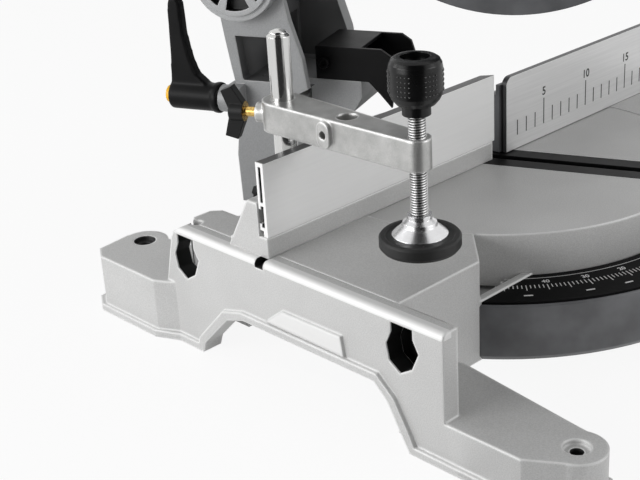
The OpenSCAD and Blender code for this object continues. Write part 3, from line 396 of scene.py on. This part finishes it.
def cast_metal(
        name, colour, metallic=0.2, rough=0.5, edge=1.2, highlight=0.2, marks=None,
        scale=1300, bump=0.15, mottle=0.08, patches=22):
    """Die-cast aluminium: fine grain over slow tone changes, a slightly rough skin and painted edge
    highlights.
    """
    material, tree, bsdf = shader(name)
    at = own_place(tree)
    grain = noise(tree, at, scale, detail=2.0)
    tone = noise(tree, at, patches, detail=4.0)
    fine = ramp(tree, grain, scaled(colour, 0.91), scaled(colour, 1.07), NARROW)
    slow = ramp(tree, tone, grey(1 - mottle), grey(1), WIDE)
    # Painted highlight along each edge, as strong as its factor
    painted_highlight = arithmetic(tree, "MULTIPLY", edge_mask(tree, edge), highlight)
    base = tint(tree, painted_highlight, multiply(tree, fine, slow), EDGE_HIGHLIGHT)
    # Marks by place, which on the castings are mostly painted shade and a painted highlight
    if marks:
        base = marks(tree, at, base)
    tree.links.new(base, bsdf.inputs["Base Color"])
    tree.links.new(spread(tree, grain, rough - 0.07, rough + 0.09), bsdf.inputs["Roughness"])
    bsdf.inputs["Metallic"].default_value = metallic
    relief(tree, bsdf, grain, strength=bump, depth=0.12, edge=edge)
    return material


def brushed_metal(
        name, colour, rough, stretch, scale, edge=0.4, metallic=1.0, contrast=0.1, marks=None):
    """Drawn or ground metal, with fine lines along one direction."""
    material, tree, bsdf = shader(name)
    at = own_place(tree)
    lines = noise(tree, at, scale, detail=3.0, stretch=stretch)
    tone = noise(tree, at, scale=14, detail=2.0)
    fine = ramp(tree, lines, scaled(colour, 1 - contrast), scaled(colour, 1 + contrast / 2), WIDE)
    slow = ramp(tree, tone, grey(1 - contrast / 2), grey(1), WIDE)
    base = multiply(tree, fine, slow)
    # Marks by place, such as painted shade in the fence's hollows
    if marks:
        base = marks(tree, at, base)
    tree.links.new(base, bsdf.inputs["Base Color"])
    tree.links.new(spread(tree, lines, rough - 0.06, rough + 0.08), bsdf.inputs["Roughness"])
    bsdf.inputs["Metallic"].default_value = metallic
    relief(tree, bsdf, lines, strength=0.08, depth=0.06, edge=edge)
    return material


def moulded_plastic(name, colour, rough, sheen, scale=1400, edge=0.8, bump=0.18):
    """Moulded plastic, rubber or thick paint with a fine texture and faint handling marks."""
    material, tree, bsdf = shader(name)
    at = own_place(tree)
    bsdf.inputs["Specular IOR Level"].default_value = sheen
    grain = noise(tree, at, scale, detail=2.0)
    smear = noise(tree, at, scale=45, detail=3.0)
    base = ramp(tree, smear, scaled(colour, 0.8), scaled(colour, 1.25), NARROW)
    tree.links.new(base, bsdf.inputs["Base Color"])
    tree.links.new(spread(tree, smear, rough - 0.08, rough + 0.1), bsdf.inputs["Roughness"])
    relief(tree, bsdf, grain, strength=bump, depth=0.08, edge=edge)
    return material


def threaded_metal(name, axis, outer, depth):
    """Bright plated thread round an upright axis, near black in its groove as painted shade, with sizes
    in metres.
    """
    material, tree, bsdf = shader(name)
    at = own_place(tree)
    flat = tree.nodes.new("ShaderNodeVectorMath")
    flat.operation = "MULTIPLY_ADD"
    flat.inputs[1].default_value = (1, 1, 0)
    flat.inputs[2].default_value = (-axis[0], -axis[1], 0)
    tree.links.new(at, flat.inputs[0])
    length = tree.nodes.new("ShaderNodeVectorMath")
    length.operation = "LENGTH"
    tree.links.new(flat.outputs["Vector"], length.inputs[0])
    lift = spread(tree, length.outputs["Value"], 0.0, 1.0, (outer - depth, outer))
    # Painted shade: the groove turns near black and the crest stays bright
    groove, crest = grey(0.02), grey(0.80)
    depths = ramp(tree, lift, groove, crest, (0.15, 0.75))
    wear = ramp(tree, noise(tree, at, scale=900, detail=2.0), grey(0.86), grey(1), WIDE)
    tree.links.new(multiply(tree, depths, wear), bsdf.inputs["Base Color"])
    bsdf.inputs["Metallic"].default_value = 1.0
    bsdf.inputs["Roughness"].default_value = 0.36
    return material


def brass_and_black(name, start, direction):
    """Turned brass up to a plane through a point in millimetres, and black plastic beyond it."""
    material, tree, bsdf = shader(name)
    at = own_place(tree)
    reach = Vector(start).dot(Vector(direction))
    far = arithmetic(tree, "GREATER_THAN", along(tree, at, direction, reach), 0.0)
    lines = noise(tree, at, scale=900, detail=3.0)
    metal = ramp(tree, lines, DARK_BRASS, LIGHT_BRASS, WIDE)
    tree.links.new(tint(tree, far, metal, BLACK), bsdf.inputs["Base Color"])
    pairs = (("Metallic", 1.0, 0.0), ("Roughness", 0.25, 0.42), ("Specular IOR Level", 0.5, 0.25))
    for socket, of_brass, of_black in pairs:
        tree.links.new(spread(tree, far, of_brass, of_black), bsdf.inputs[socket])
    relief(tree, bsdf, lines, strength=0.12, depth=0.08, edge=0.8)
    return material


def printed_ink(name, colour):
    """Printed ink: flat, with a faint unevenness."""
    material, tree, bsdf = shader(name)
    patches = noise(tree, own_place(tree), scale=700, detail=2.0)
    wear = ramp(tree, patches, scaled(colour, 0.85), colour, (0.2, 0.5))
    tree.links.new(wear, bsdf.inputs["Base Color"])
    bsdf.inputs["Roughness"].default_value = 0.5
    return material


# Materials

WING_AXIS = (-math.sin(WING_TURN), math.cos(WING_TURN), 0.0)
WING_START = (POST_X + WING_REACH * WING_AXIS[0], POST_Y + WING_REACH * WING_AXIS[1], 0.0)

LIGHT_CAST = cast_metal("light_cast_aluminium", LIGHT_GREY, rough=0.48, edge=2.8, highlight=0.75)
END_CAST = cast_metal(
    "end_cast_aluminium", LIGHT_GREY, rough=0.48, edge=2.8, highlight=0.75, marks=end_marks)
CLAMP_CAST = cast_metal(
    "clamp_cast_aluminium", (0.52, 0.52, 0.51), metallic=0.7, rough=0.34, edge=2.4, highlight=0.6,
    scale=1800, bump=0.12, mottle=0.26, patches=90)
GREY_CAST = cast_metal("grey_cast_aluminium", MID_GREY)
CAP_CAST = cast_metal("cap_cast_aluminium", MID_GREY, marks=cap_marks)
ARM_CAST = cast_metal("arm_cast_aluminium", (0.30, 0.304, 0.308), marks=arm_marks)
DARK_PAINT = moulded_plastic(
    "dark_grey_paint", (0.085, 0.087, 0.092), rough=0.42, sheen=0.4, scale=900, bump=0.12)
APRON_PAINT = moulded_plastic(
    "apron_grey_paint", (0.118, 0.120, 0.126), rough=0.34, sheen=0.5, scale=900, bump=0.08)
BLACK_PLASTIC = moulded_plastic("black_plastic", BLACK, rough=0.42, sheen=0.12)
GLOSSY_BLACK = moulded_plastic(
    "glossy_black_plastic", BLACK, rough=0.27, sheen=0.28, scale=1600, bump=0.03)
DOT_BLACK = moulded_plastic(
    "polished_dots", grey(0.012), rough=0.16, sheen=1.0, scale=1600, edge=0.0, bump=0.0)
SCALE_BLACK = moulded_plastic(
    "scale_black", (0.003, 0.003, 0.0032), rough=0.4, sheen=0.04, scale=1200, edge=0.2, bump=0.06)
RUBBER = moulded_plastic(
    "black_rubber", grey(0.012), rough=0.5, sheen=0.35, scale=1000, edge=1.0, bump=0.25)
# Painted shade: near black lining inside the keyhole pockets
POCKET_SHADE = moulded_plastic(
    "pocket_painted_shade", grey(0.022), rough=0.8, sheen=0.05, scale=900, edge=0.0, bump=0.1)
AMBER = moulded_plastic(
    "amber_plastic", (0.86, 0.47, 0.02), rough=0.35, sheen=0.4, scale=1500, edge=0.6, bump=0.06)
EXTRUSION = brushed_metal(
    "fence_extrusion", (0.95, 0.95, 0.945), rough=0.4, stretch=ALONG_X, scale=900,
    metallic=0.0, contrast=0.02, marks=fence_marks)
RULER_METAL = brushed_metal(
    "ruler_fence", grey(0.78), rough=0.34, stretch=ALONG_X, scale=900,
    metallic=0.3, contrast=0.06, marks=plate_marks)
ZINC = brushed_metal(
    "bright_zinc", (0.80, 0.80, 0.81), rough=0.16, stretch=ALONG_X, scale=400, edge=0.3)
FOOT_ZINC = brushed_metal(
    "turned_foot_zinc", (0.78, 0.78, 0.79), rough=0.24, stretch=ALONG_X, scale=400,
    edge=0.3, contrast=0.06)
POST_STEEL = brushed_metal(
    "turned_post_steel", (0.66, 0.66, 0.65), rough=0.16, stretch=ALONG_Z, scale=500,
    edge=0.5, contrast=0.04)
GROUND_STEEL = brushed_metal(
    "ground_steel", (0.60, 0.60, 0.61), rough=0.3, stretch=ALONG_Z, scale=300, edge=0.2)
WING_MIX = brass_and_black("brass_and_black", WING_START, WING_AXIS)
WHITE_INK = printed_ink("white_ink", grey(0.78))
BLACK_INK = printed_ink("black_ink", grey(0.01))

# Nodes of each material, where the rest are black plastic
MATERIAL_NODES = (
    (LIGHT_CAST, ("base_casting", "left_fence_casting", "turntable")),
    (END_CAST, ("left_end_casting", "right_end_casting")),
    (CLAMP_CAST, ("clamp_arm",)),
    (GREY_CAST, ("head_casting", "guard_cover", "gear_cover")),
    (CAP_CAST, ("pivot_cap",)),
    (ARM_CAST, ("bevel_arm",)),
    (DARK_PAINT, ("lower_guard", "right_fence_backing", "detent_lever")),
    (APRON_PAINT, ("scale_ring",)),
    (GLOSSY_BLACK, ("clamp_knob",)),
    (SCALE_BLACK, ("mitre_scale",)),
    (RUBBER, ("clamp_pad",)),
    (AMBER, ("lever_button", "lock_off_button")),
    (EXTRUSION, ("sliding_fence",)),
    (RULER_METAL, ("right_fence",)),
    (ZINC, (
        "fence_screws", "fence_lock_bolt", "arbor_bolt", "chop_shaft", "clamp_screw",
        "mitre_lock_rod", "mitre_pivot_bolt", "bevel_pivot_bolt", "detent_pin")),
    (FOOT_ZINC, ("clamp_foot",)),
    (POST_STEEL, ("clamp_post",)),
    (GROUND_STEEL, (
        "blade", "blade_flanges", "arbor_shaft", "driven_gear", "bearings", "armature")),
    (WING_MIX, ("wing_screw",)),
)


def dress_nodes():
    """Gives each node its material."""
    material_of = {name: material for material, names in MATERIAL_NODES for name in names}
    for name, obj in NODES.items():
        obj.data.materials.clear()
        obj.data.materials.append(material_of.get(name, BLACK_PLASTIC))


# Making pieces

def linked(name, data):
    """New object in the scene."""
    obj = bpy.data.objects.new(name, data)
    bpy.context.scene.collection.objects.link(obj)
    return obj


def mesh_object(name, bm):
    """New mesh object in the scene from a bmesh, which is freed."""
    mesh = bpy.data.meshes.new(name)
    bm.to_mesh(mesh)
    bm.free()
    return linked(name, mesh)


def piece(name, bm, body, material, replaced=None):
    """Piece that rides a body, in place of a node if one is given."""
    bmesh.ops.recalc_face_normals(bm, faces=bm.faces)
    obj = mesh_object(name, bm)
    obj.data.materials.append(material)
    if replaced:
        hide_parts(replaced)
    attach(obj, body)
    return obj


def add_text(name, words, size, matrix, body, material):
    """Raised number that rides a body, of a size in millimetres."""
    thicker = 0.018
    curve = bpy.data.curves.new(name, "FONT")
    curve.body = words
    curve.size = size * MM
    curve.align_x = "CENTER"
    curve.align_y = "CENTER"
    curve.extrude = INK_T / 2 * MM
    curve.offset = thicker * size * MM
    curve.resolution_u = 6
    curve.materials.append(material)
    obj = linked(name, curve)
    obj.matrix_world = matrix
    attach(obj, body)


def smooth(obj):
    """Smooth shading on every face."""
    for face in obj.data.polygons:
        face.use_smooth = True


def add_box(bm, matrix, size):
    """Box of a size in millimetres, centred on a matrix."""
    bmesh.ops.create_cube(bm, size=1.0, matrix=matrix @ Matrix.Diagonal((*scaled(size, MM), 1)))


def add_cylinder(bm, matrix, r, length):
    """Cylinder along a matrix's z axis, centred on it, with sizes in metres."""
    bmesh.ops.create_cone(
        bm, cap_ends=True, segments=64, radius1=r, radius2=r, depth=length, matrix=matrix)


def add_prism(bm, span, outline):
    """Prism across the turntable over a span, from an outline of (along, up) points in millimetres."""
    place = turntable_matrix()
    near, far = ([bm.verts.new(place @ (Vector((x, s, z)) * MM)) for s, z in outline] for x in span)
    bm.faces.new(near)
    bm.faces.new(far[::-1])
    for i in range(len(outline)):
        j = (i + 1) % len(outline)
        bm.faces.new((near[j], near[i], far[i], far[j]))


def round_angles(sides):
    """Angles of the points of a ring."""
    return [math.tau * i / sides for i in range(sides)]


def turned_rings(bm, matrix, profile, sides):
    """Rings round a matrix's z axis, from a profile of (radius, height) points in metres."""
    rings = []
    for r, z in profile:
        spots = [Vector((r * math.cos(a), r * math.sin(a), z)) for a in round_angles(sides)]
        rings.append([bm.verts.new(matrix @ spot) for spot in spots])
    return rings


def skin(bm, rings, tip=None):
    """Closed skin over rings, with a flat first end and a flat or pointed last one."""
    sides = len(rings[0])
    for a, b in zip(rings, rings[1:]):
        for i in range(sides):
            j = (i + 1) % sides
            bm.faces.new((a[i], a[j], b[j], b[i]))
    bm.faces.new(rings[0][::-1])
    if tip:
        for i in range(sides):
            bm.faces.new((rings[-1][i], rings[-1][(i + 1) % sides], tip))
    else:
        bm.faces.new(rings[-1])


def carve(node, name, body, bm):
    """Cuts a hidden solid out of a node's shown surface, with its edges kept sharp."""
    weld_gap, sharp_turn = 0.001, 25
    bmesh.ops.recalc_face_normals(bm, faces=bm.faces)
    cutter = mesh_object(name, bm)
    cutter.hide_render = True
    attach(cutter, body)
    obj = NODES[node]
    obj.modifiers.new(name + "_weld", "WELD").merge_threshold = weld_gap * MM
    cut = obj.modifiers.new(name, "BOOLEAN")
    cut.operation = "DIFFERENCE"
    cut.solver = "EXACT"
    cut.object = cutter
    obj.modifiers.new(name + "_edges", "EDGE_SPLIT").split_angle = math.radians(sharp_turn)


# Marks and numbers

def fence_ruler():
    """Centimetre marks along the right fence, with a number at every fifth one."""
    first, last, per_number, cm_in_mm = 2, 20, 5, 10
    foot, long_mark, short_mark, mark_w = TABLE_H + 10, 19, 11, 1.0
    number_size, number_z, number_out = 8.5, TABLE_H + 34, 0.02
    bm = bmesh.new()
    for cm in range(first, last + 1):
        tall = short_mark if cm % per_number else long_mark
        at = Vector((cm * cm_in_mm, FENCE_Y, foot + tall / 2)) * MM
        add_box(bm, Matrix.Translation(at), (mark_w, INK_T, tall))
    piece("ruler_marks", bm, "base", BLACK_INK)
    upright = Matrix.Rotation(math.radians(90), 4, "X")
    for cm in range(per_number, last + 1, per_number):
        at = Vector((cm * cm_in_mm, FENCE_Y - number_out, number_z)) * MM
        place = Matrix.Translation(at) @ upright
        add_text(f"ruler_number_{cm}", str(cm), number_size, place, "base", BLACK_INK)


def on_scale(degree, r, lift=0.0):
    """Row frame matrix of a place on the mitre scale, at an angle and a radius in millimetres."""
    axis = Matrix.Translation((0, MITRE_Y * MM, SCALE_TOP * MM))
    turn = Matrix.Rotation(math.radians(degree), 4, "Z")
    return axis @ turn @ Matrix.Translation((0, -r * MM, lift * MM))


def scale_marks():
    """Degree marks, stops and numbers on the mitre scale, and a thin arc inside them."""
    arc_r, number_r, mark_r, stop_r = 138.5, 143.6, 147.5, 161
    last_mark, per_long, long_mark, short_mark, mark_w = 52, 5, 7.0, 4.2, 0.55
    last_number, per_number, number_size, number_out = 50, 10, 5.0, 0.02
    stops, stop_w, stop_l = (-45, -31.6, -22.5, -15, 0, 15, 22.5, 31.6, 45), 5.5, 1.3
    arc_steps, arc_w = 60, 0.45
    bm = bmesh.new()
    for degree in range(-last_mark, last_mark + 1):
        tall = short_mark if degree % per_long else long_mark
        add_box(bm, on_scale(degree, mark_r + tall / 2), (mark_w, tall, INK_T))
    for degree in stops:
        add_box(bm, on_scale(degree, stop_r), (stop_w, stop_l, INK_T))
    step = 2 * last_number / arc_steps
    length = math.radians(step) * arc_r
    for i in range(arc_steps):
        add_box(bm, on_scale(-last_number + step * (i + 0.5), arc_r), (length, arc_w, INK_T))
    piece("scale_marks", bm, "base", WHITE_INK)
    for degree in range(-last_number, last_number + 1, per_number):
        name, words = f"scale_number_{degree}", str(abs(degree))
        place = on_scale(degree, number_r, number_out)
        add_text(name, words, number_size, place, "base", WHITE_INK)


# Clamp

def threaded_rod():
    """Clamp screw with its thread, in the space of the plain rod."""
    low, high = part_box("clamp_screw")
    centre = (low + high) / 2
    outer = (high.x - low.x) / 2
    pitch = 1.5 * MM
    depth = 0.9 * MM
    crest = 1.15
    sides, per_turn = 60, 8
    rows = int((high.z - low.z) / pitch * per_turn)
    bm = bmesh.new()
    rings = []
    for k in range(rows + 1):
        z = low.z + (high.z - low.z) * k / rows
        ring = []
        for i, a in enumerate(round_angles(sides)):
            phase = (z - low.z) / pitch - i / sides
            wave = abs(2 * (phase - math.floor(phase)) - 1)
            r = outer - depth * (1 - min(1, wave * crest))
            ring.append(bm.verts.new((centre.x + r * math.cos(a), centre.y + r * math.sin(a), z)))
        rings.append(ring)
    skin(bm, rings)
    plated = threaded_metal("plated_thread", centre, outer, depth)
    smooth(piece("clamp_thread", bm, "clamp_spindle", plated, "clamp_screw"))


def knob_dots():
    """Rows of small raised dots in six grip fields round the clamp knob."""
    low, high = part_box("clamp_knob")
    centre = (low + high) / 2
    r = (high.x - low.x) / 2
    fields, columns, rows = 6, 4, 5
    first_turn, column_step = 196, 8.5
    first_up, row_step, dot_r = 13.6, 2.6, 0.5
    bm = bmesh.new()
    for field in range(fields):
        for column in range(columns):
            turn = first_turn + field * 360 / fields + (column - (columns - 1) / 2) * column_step
            x, y = polar(r, turn)
            for row in range(rows):
                z = low.z + (first_up + row * row_step) * MM
                at = Matrix.Translation((centre.x + x, centre.y + y, z))
                bmesh.ops.create_icosphere(bm, subdivisions=2, radius=dot_r * MM, matrix=at)
    smooth(piece("knob_grip_dots", bm, "clamp_spindle", DOT_BLACK))


def post_dome():
    """Low dome on the chamfered end of the clamp post."""
    low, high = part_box("clamp_post")
    centre = (low + high) / 2
    r = (high.x - low.x) / 2 - POST_CHAMFER * MM
    rise, steps, sides = 2.4 * MM, 8, 64
    lifts = [math.radians(90 * k / steps) for k in range(steps)]
    profile = [(r * math.cos(lift), rise * math.sin(lift)) for lift in lifts]
    end = Matrix.Translation((centre.x, centre.y, high.z))
    bm = bmesh.new()
    rings = turned_rings(bm, end, profile, sides)
    skin(bm, rings, bm.verts.new(end @ Vector((0, 0, rise))))
    smooth(piece("clamp_post_dome", bm, "clamp_stand", POST_STEEL))


# Screws and pockets

def socket_screw(bm, matrix, r, h):
    """Cap screw with a round socket, its head standing along the matrix's z axis."""
    chamfer, deep, mouth, bottom, sides = 0.5, 1.4, 0.55, 0.5, 20
    profile = [(r, 0), (r, h - chamfer), (r - chamfer, h), (r * mouth, h), (r * bottom, h - deep)]
    skin(bm, turned_rings(bm, matrix, [scaled(point, MM) for point in profile], sides))


def head_screws():
    """Screws round the guard cover, on the gear cover and in the handle."""
    left, right = (Matrix.Rotation(math.radians(turn), 4, "Y") for turn in (-90, 90))
    cover_r, gear_r = 138, 45.5
    cover = [polar(cover_r, degree) for degree in (14, 52, 90, 128, 176)]
    gear = [polar(gear_r, degree) for degree in (205, 270, 335)]
    handle = [(-122, 106), (-210, 106), (-166, 137), (-166, 74), (-84, 62)]
    # Name, (along, up) places, place across, facing, and radius and height of the heads
    groups = (
        ("guard_cover_screws", cover, -20, left, 3.4, 2.6),
        ("gear_cover_screws", gear, 62, right, 3.2, 2.6),
        ("handle_screws", handle, 48, right, 2.8, 1.4),
    )
    for name, spots, x, face, r, h in groups:
        bm = bmesh.new()
        for s, up in spots:
            at = Matrix.Translation(Vector((x, s, up)) * MM)
            socket_screw(bm, arbor_matrix() @ at @ face, r, h)
        piece(name, bm, "head", ZINC)


def deflector_bolts():
    """Black bolts that hold the dust deflector, one on each side of its back."""
    bolt_x, bolt_s, bolt_z, head_r, head_h = 22, 119, 148, 4.0, 3.2
    bm = bmesh.new()
    for side in (-1, 1):
        face = Matrix.Rotation(math.radians(90 * side), 4, "Y")
        at = Matrix.Translation(Vector((side * bolt_x, bolt_s, bolt_z)) * MM)
        socket_screw(bm, turntable_matrix() @ at @ face, head_r, head_h)
    piece("deflector_bolts", bm, "arm", BLACK_PLASTIC)


def open_box(bm, side, outer, deep, y_span, z_span, wall):
    """Thin box behind an end wall, open towards the wall, with sizes in millimetres."""
    (y0, y1), (z0, z1) = y_span, z_span
    x, y, z = side * (outer - deep / 2), (y0 + y1) / 2, (z0 + z1) / 2
    walls = (
        ((side * (outer - deep + wall / 2), y, z), (wall, y1 - y0, z1 - z0)),
        ((x, y0 + wall / 2, z), (deep, wall, z1 - z0)),
        ((x, y1 - wall / 2, z), (deep, wall, z1 - z0)),
        ((x, y, z0 + wall / 2), (deep, y1 - y0, wall)),
        ((x, y, z1 - wall / 2), (deep, y1 - y0, wall)),
    )
    for at, size in walls:
        add_box(bm, Matrix.Translation(Vector(at) * MM), size)


def keyhole_pockets():
    """Pockets behind the keyholes in the end walls: a cast box, lined with a near black sheet of painted
    shade.
    """
    outer, deep, cast_wall = 209.6, 9.0, 0.8
    inset, dark_wall = 0.9, 0.5
    z0, z1 = 46.0, 75.9
    cast = bmesh.new()
    dark = bmesh.new()
    for side in (-1, 1):
        for y0, y1 in KEYHOLE_SPANS:
            open_box(cast, side, outer, deep, (y0, y1), (z0, z1), cast_wall)
            lining = ((y0 + inset, y1 - inset), (z0 + inset, z1 - inset))
            # Near black lining of painted shade inside each box
            open_box(dark, side, outer, deep - inset, *lining, dark_wall)
    piece("keyhole_boxes", cast, "base", LIGHT_CAST)
    piece("keyhole_pockets", dark, "base", POCKET_SHADE)


# Shown surfaces of two nodes

def soft_lever():
    """Rounds the moulded lever's edges and runs its grip into its hub in one curve.

    The button's bore is then cut again, and the stud is cut off where the arm hides it.
    """
    obj = NODES["bevel_lever"]
    remesh = obj.modifiers.new("lever_skin", "REMESH")
    remesh.mode = "VOXEL"
    remesh.voxel_size = 0.8 * MM
    remesh.use_smooth_shade = True
    soft = obj.modifiers.new("lever_soft", "SMOOTH")
    soft.factor = 0.5
    soft.iterations = 20
    low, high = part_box("lever_button")
    clearance, stud_cut_r = 0.35, 6.0
    bore_r = (high.z - low.z) / 2 + clearance * MM
    turn = turntable_matrix().to_3x3().to_4x4() @ Matrix.Rotation(math.radians(-90), 4, "X")
    axis = Matrix.Translation((low + high) / 2) @ turn
    # Name, start and end along the button's axis in millimetres, and radius in metres
    cuts = (("lever_bore", -8.5, 8.5, bore_r), ("lever_stud", -54, -38.7, stud_cut_r * MM))
    for name, start, end, r in cuts:
        bm = bmesh.new()
        middle = axis @ Matrix.Translation((0, 0, (start + end) / 2 * MM))
        add_cylinder(bm, middle, r, (end - start) * MM)
        carve("bevel_lever", name, "bevel_lock", bm)


def arm_window():
    """Window through the arm's left cheek to the hollow behind it, and a thin front edge."""
    for name, cut in (("arm_window", WINDOW_CUT), ("arm_inside", CHEEK_CUT)):
        bm = bmesh.new()
        add_prism(bm, *cut)
        carve("bevel_arm", name, "arm", bm)


# Stage

def seen_by(tree, *rays):
    """1 for rays of the given kinds."""
    path = tree.nodes.new("ShaderNodeLightPath")
    return either(tree, *(path.outputs[f"Is {ray} Ray"] for ray in rays))


def mixed(tree, fac, a, b):
    """Mix of two shaders."""
    node = tree.nodes.new("ShaderNodeMixShader")
    tree.links.new(fac, node.inputs["Fac"])
    tree.links.new(a, node.inputs[1])
    tree.links.new(b, node.inputs[2])
    return node.outputs["Shader"]


def white_background(tree, strength):
    """White light from all round."""
    node = tree.nodes.new("ShaderNodeBackground")
    node.inputs["Color"].default_value = (*grey(1), 1)
    node.inputs["Strength"].default_value = strength
    return node.outputs["Background"]


def world():
    """White to the camera, in reflections and through clear parts, and a weaker fill light elsewhere."""
    made = bpy.data.worlds.new("studio")
    bpy.context.scene.world = made
    made.use_nodes = True
    tree = made.node_tree
    tree.nodes.clear()
    seen = seen_by(tree, "Camera", "Glossy", "Transmission")
    sky = mixed(tree, seen, white_background(tree, WORLD_FILL), white_background(tree, 1.0))
    out = tree.nodes.new("ShaderNodeOutputWorld")
    tree.links.new(sky, out.inputs["Surface"])


def floor():
    """Pale floor: near white to the camera, with the object's soft shadow left in it."""
    bm = bmesh.new()
    bmesh.ops.create_grid(bm, x_segments=1, y_segments=1, size=FLOOR_HALF)
    obj = mesh_object("floor", bm)
    obj.location = (0, 0, -FLOOR_DROP)
    material, tree, bsdf = shader("floor_white")
    bsdf.inputs["Base Color"].default_value = (*grey(0.9), 1)
    bsdf.inputs["Roughness"].default_value = 0.9
    bsdf.inputs["Specular IOR Level"].default_value = 0.1
    glow = tree.nodes.new("ShaderNodeEmission")
    glow.inputs["Strength"].default_value = 1.0
    share = arithmetic(tree, "MULTIPLY", seen_by(tree, "Camera", "Glossy"), FLOOR_GLOW)
    surface = mixed(tree, share, bsdf.outputs["BSDF"], glow.outputs["Emission"])
    tree.links.new(surface, tree.nodes["Material Output"].inputs["Surface"])
    obj.data.materials.append(material)


def lights():
    """Soft area lights, all aimed at the same place."""
    for name, place, size, power in LIGHTS:
        data = bpy.data.lights.new(name, "AREA")
        data.shape = "RECTANGLE"
        data.size, data.size_y = size
        data.energy = power
        obj = linked(name, data)
        obj.location = place
        aim = Vector(LIGHT_AIM) - Vector(place)
        obj.rotation_euler = aim.to_track_quat("-Z", "Y").to_euler()


def dark_card():
    """Dark arc on the camera's side that only reflections see, for contrast on round bright metal."""
    near, middle, radius, foot, rows = 0.16, 0.5, 1.2, 0.002, 12
    half, flare, top = (math.radians(degree) for degree in (33, 32, 84))
    facing = math.radians(CAMERA_AZIMUTH)
    centre = Vector((CAMERA_TARGET[0], CAMERA_TARGET[1], 0)) * MM
    stops = [(near, foot, half), (middle, foot, half)]
    for k in range(rows + 1):
        lift = top * k / rows
        wide = half + flare * (k / rows) ** 2
        stops.append((radius * math.cos(lift), foot + radius * math.sin(lift), wide))
    bm = bmesh.new()
    strips = []
    for reach, height, wide in stops:
        ways = [facing + turn for turn in (-wide, 0.0, wide)]
        spots = [Vector((math.sin(way) * reach, -math.cos(way) * reach, height)) for way in ways]
        strips.append([bm.verts.new(centre + spot) for spot in spots])
    for a, b in zip(strips, strips[1:]):
        for i in (0, 1):
            bm.faces.new((a[i], a[i + 1], b[i + 1], b[i]))
    obj = mesh_object("dark_card", bm)
    material, _, bsdf = shader("card_black")
    bsdf.inputs["Base Color"].default_value = (*grey(0.01), 1)
    bsdf.inputs["Roughness"].default_value = 1.0
    obj.data.materials.append(material)
    obj.visible_camera = False
    obj.visible_diffuse = False
    obj.visible_shadow = False
    obj.visible_transmission = False


def camera():
    """Camera at the photograph's view."""
    a, e, r = (math.radians(v) for v in (CAMERA_AZIMUTH, CAMERA_ELEVATION, CAMERA_ROLL))
    back = Vector((math.sin(a) * math.cos(e), -math.cos(a) * math.cos(e), math.sin(e)))
    right = Vector((math.cos(a), math.sin(a), 0))
    up = back.cross(right)
    side = right * math.cos(r) + up * math.sin(r)
    top = up * math.cos(r) - right * math.sin(r)
    data = bpy.data.cameras.new("camera")
    data.lens = CAMERA_LENS
    data.sensor_width = SENSOR_WIDTH
    data.clip_start = 0.01
    obj = linked("camera", data)
    place = Matrix((side, top, back)).transposed().to_4x4()
    place.translation = Vector(CAMERA_TARGET) * MM + back * CAMERA_DISTANCE * MM
    obj.matrix_world = place
    bpy.context.scene.camera = obj


bpy.context.scene.view_settings.view_transform = "Standard"
camera()
world()
floor()
lights()
dark_card()
dress_nodes()
fence_ruler()
scale_marks()
threaded_rod()
head_screws()
keyhole_pockets()
deflector_bolts()
knob_dots()
post_dome()
soft_lever()
arm_window()
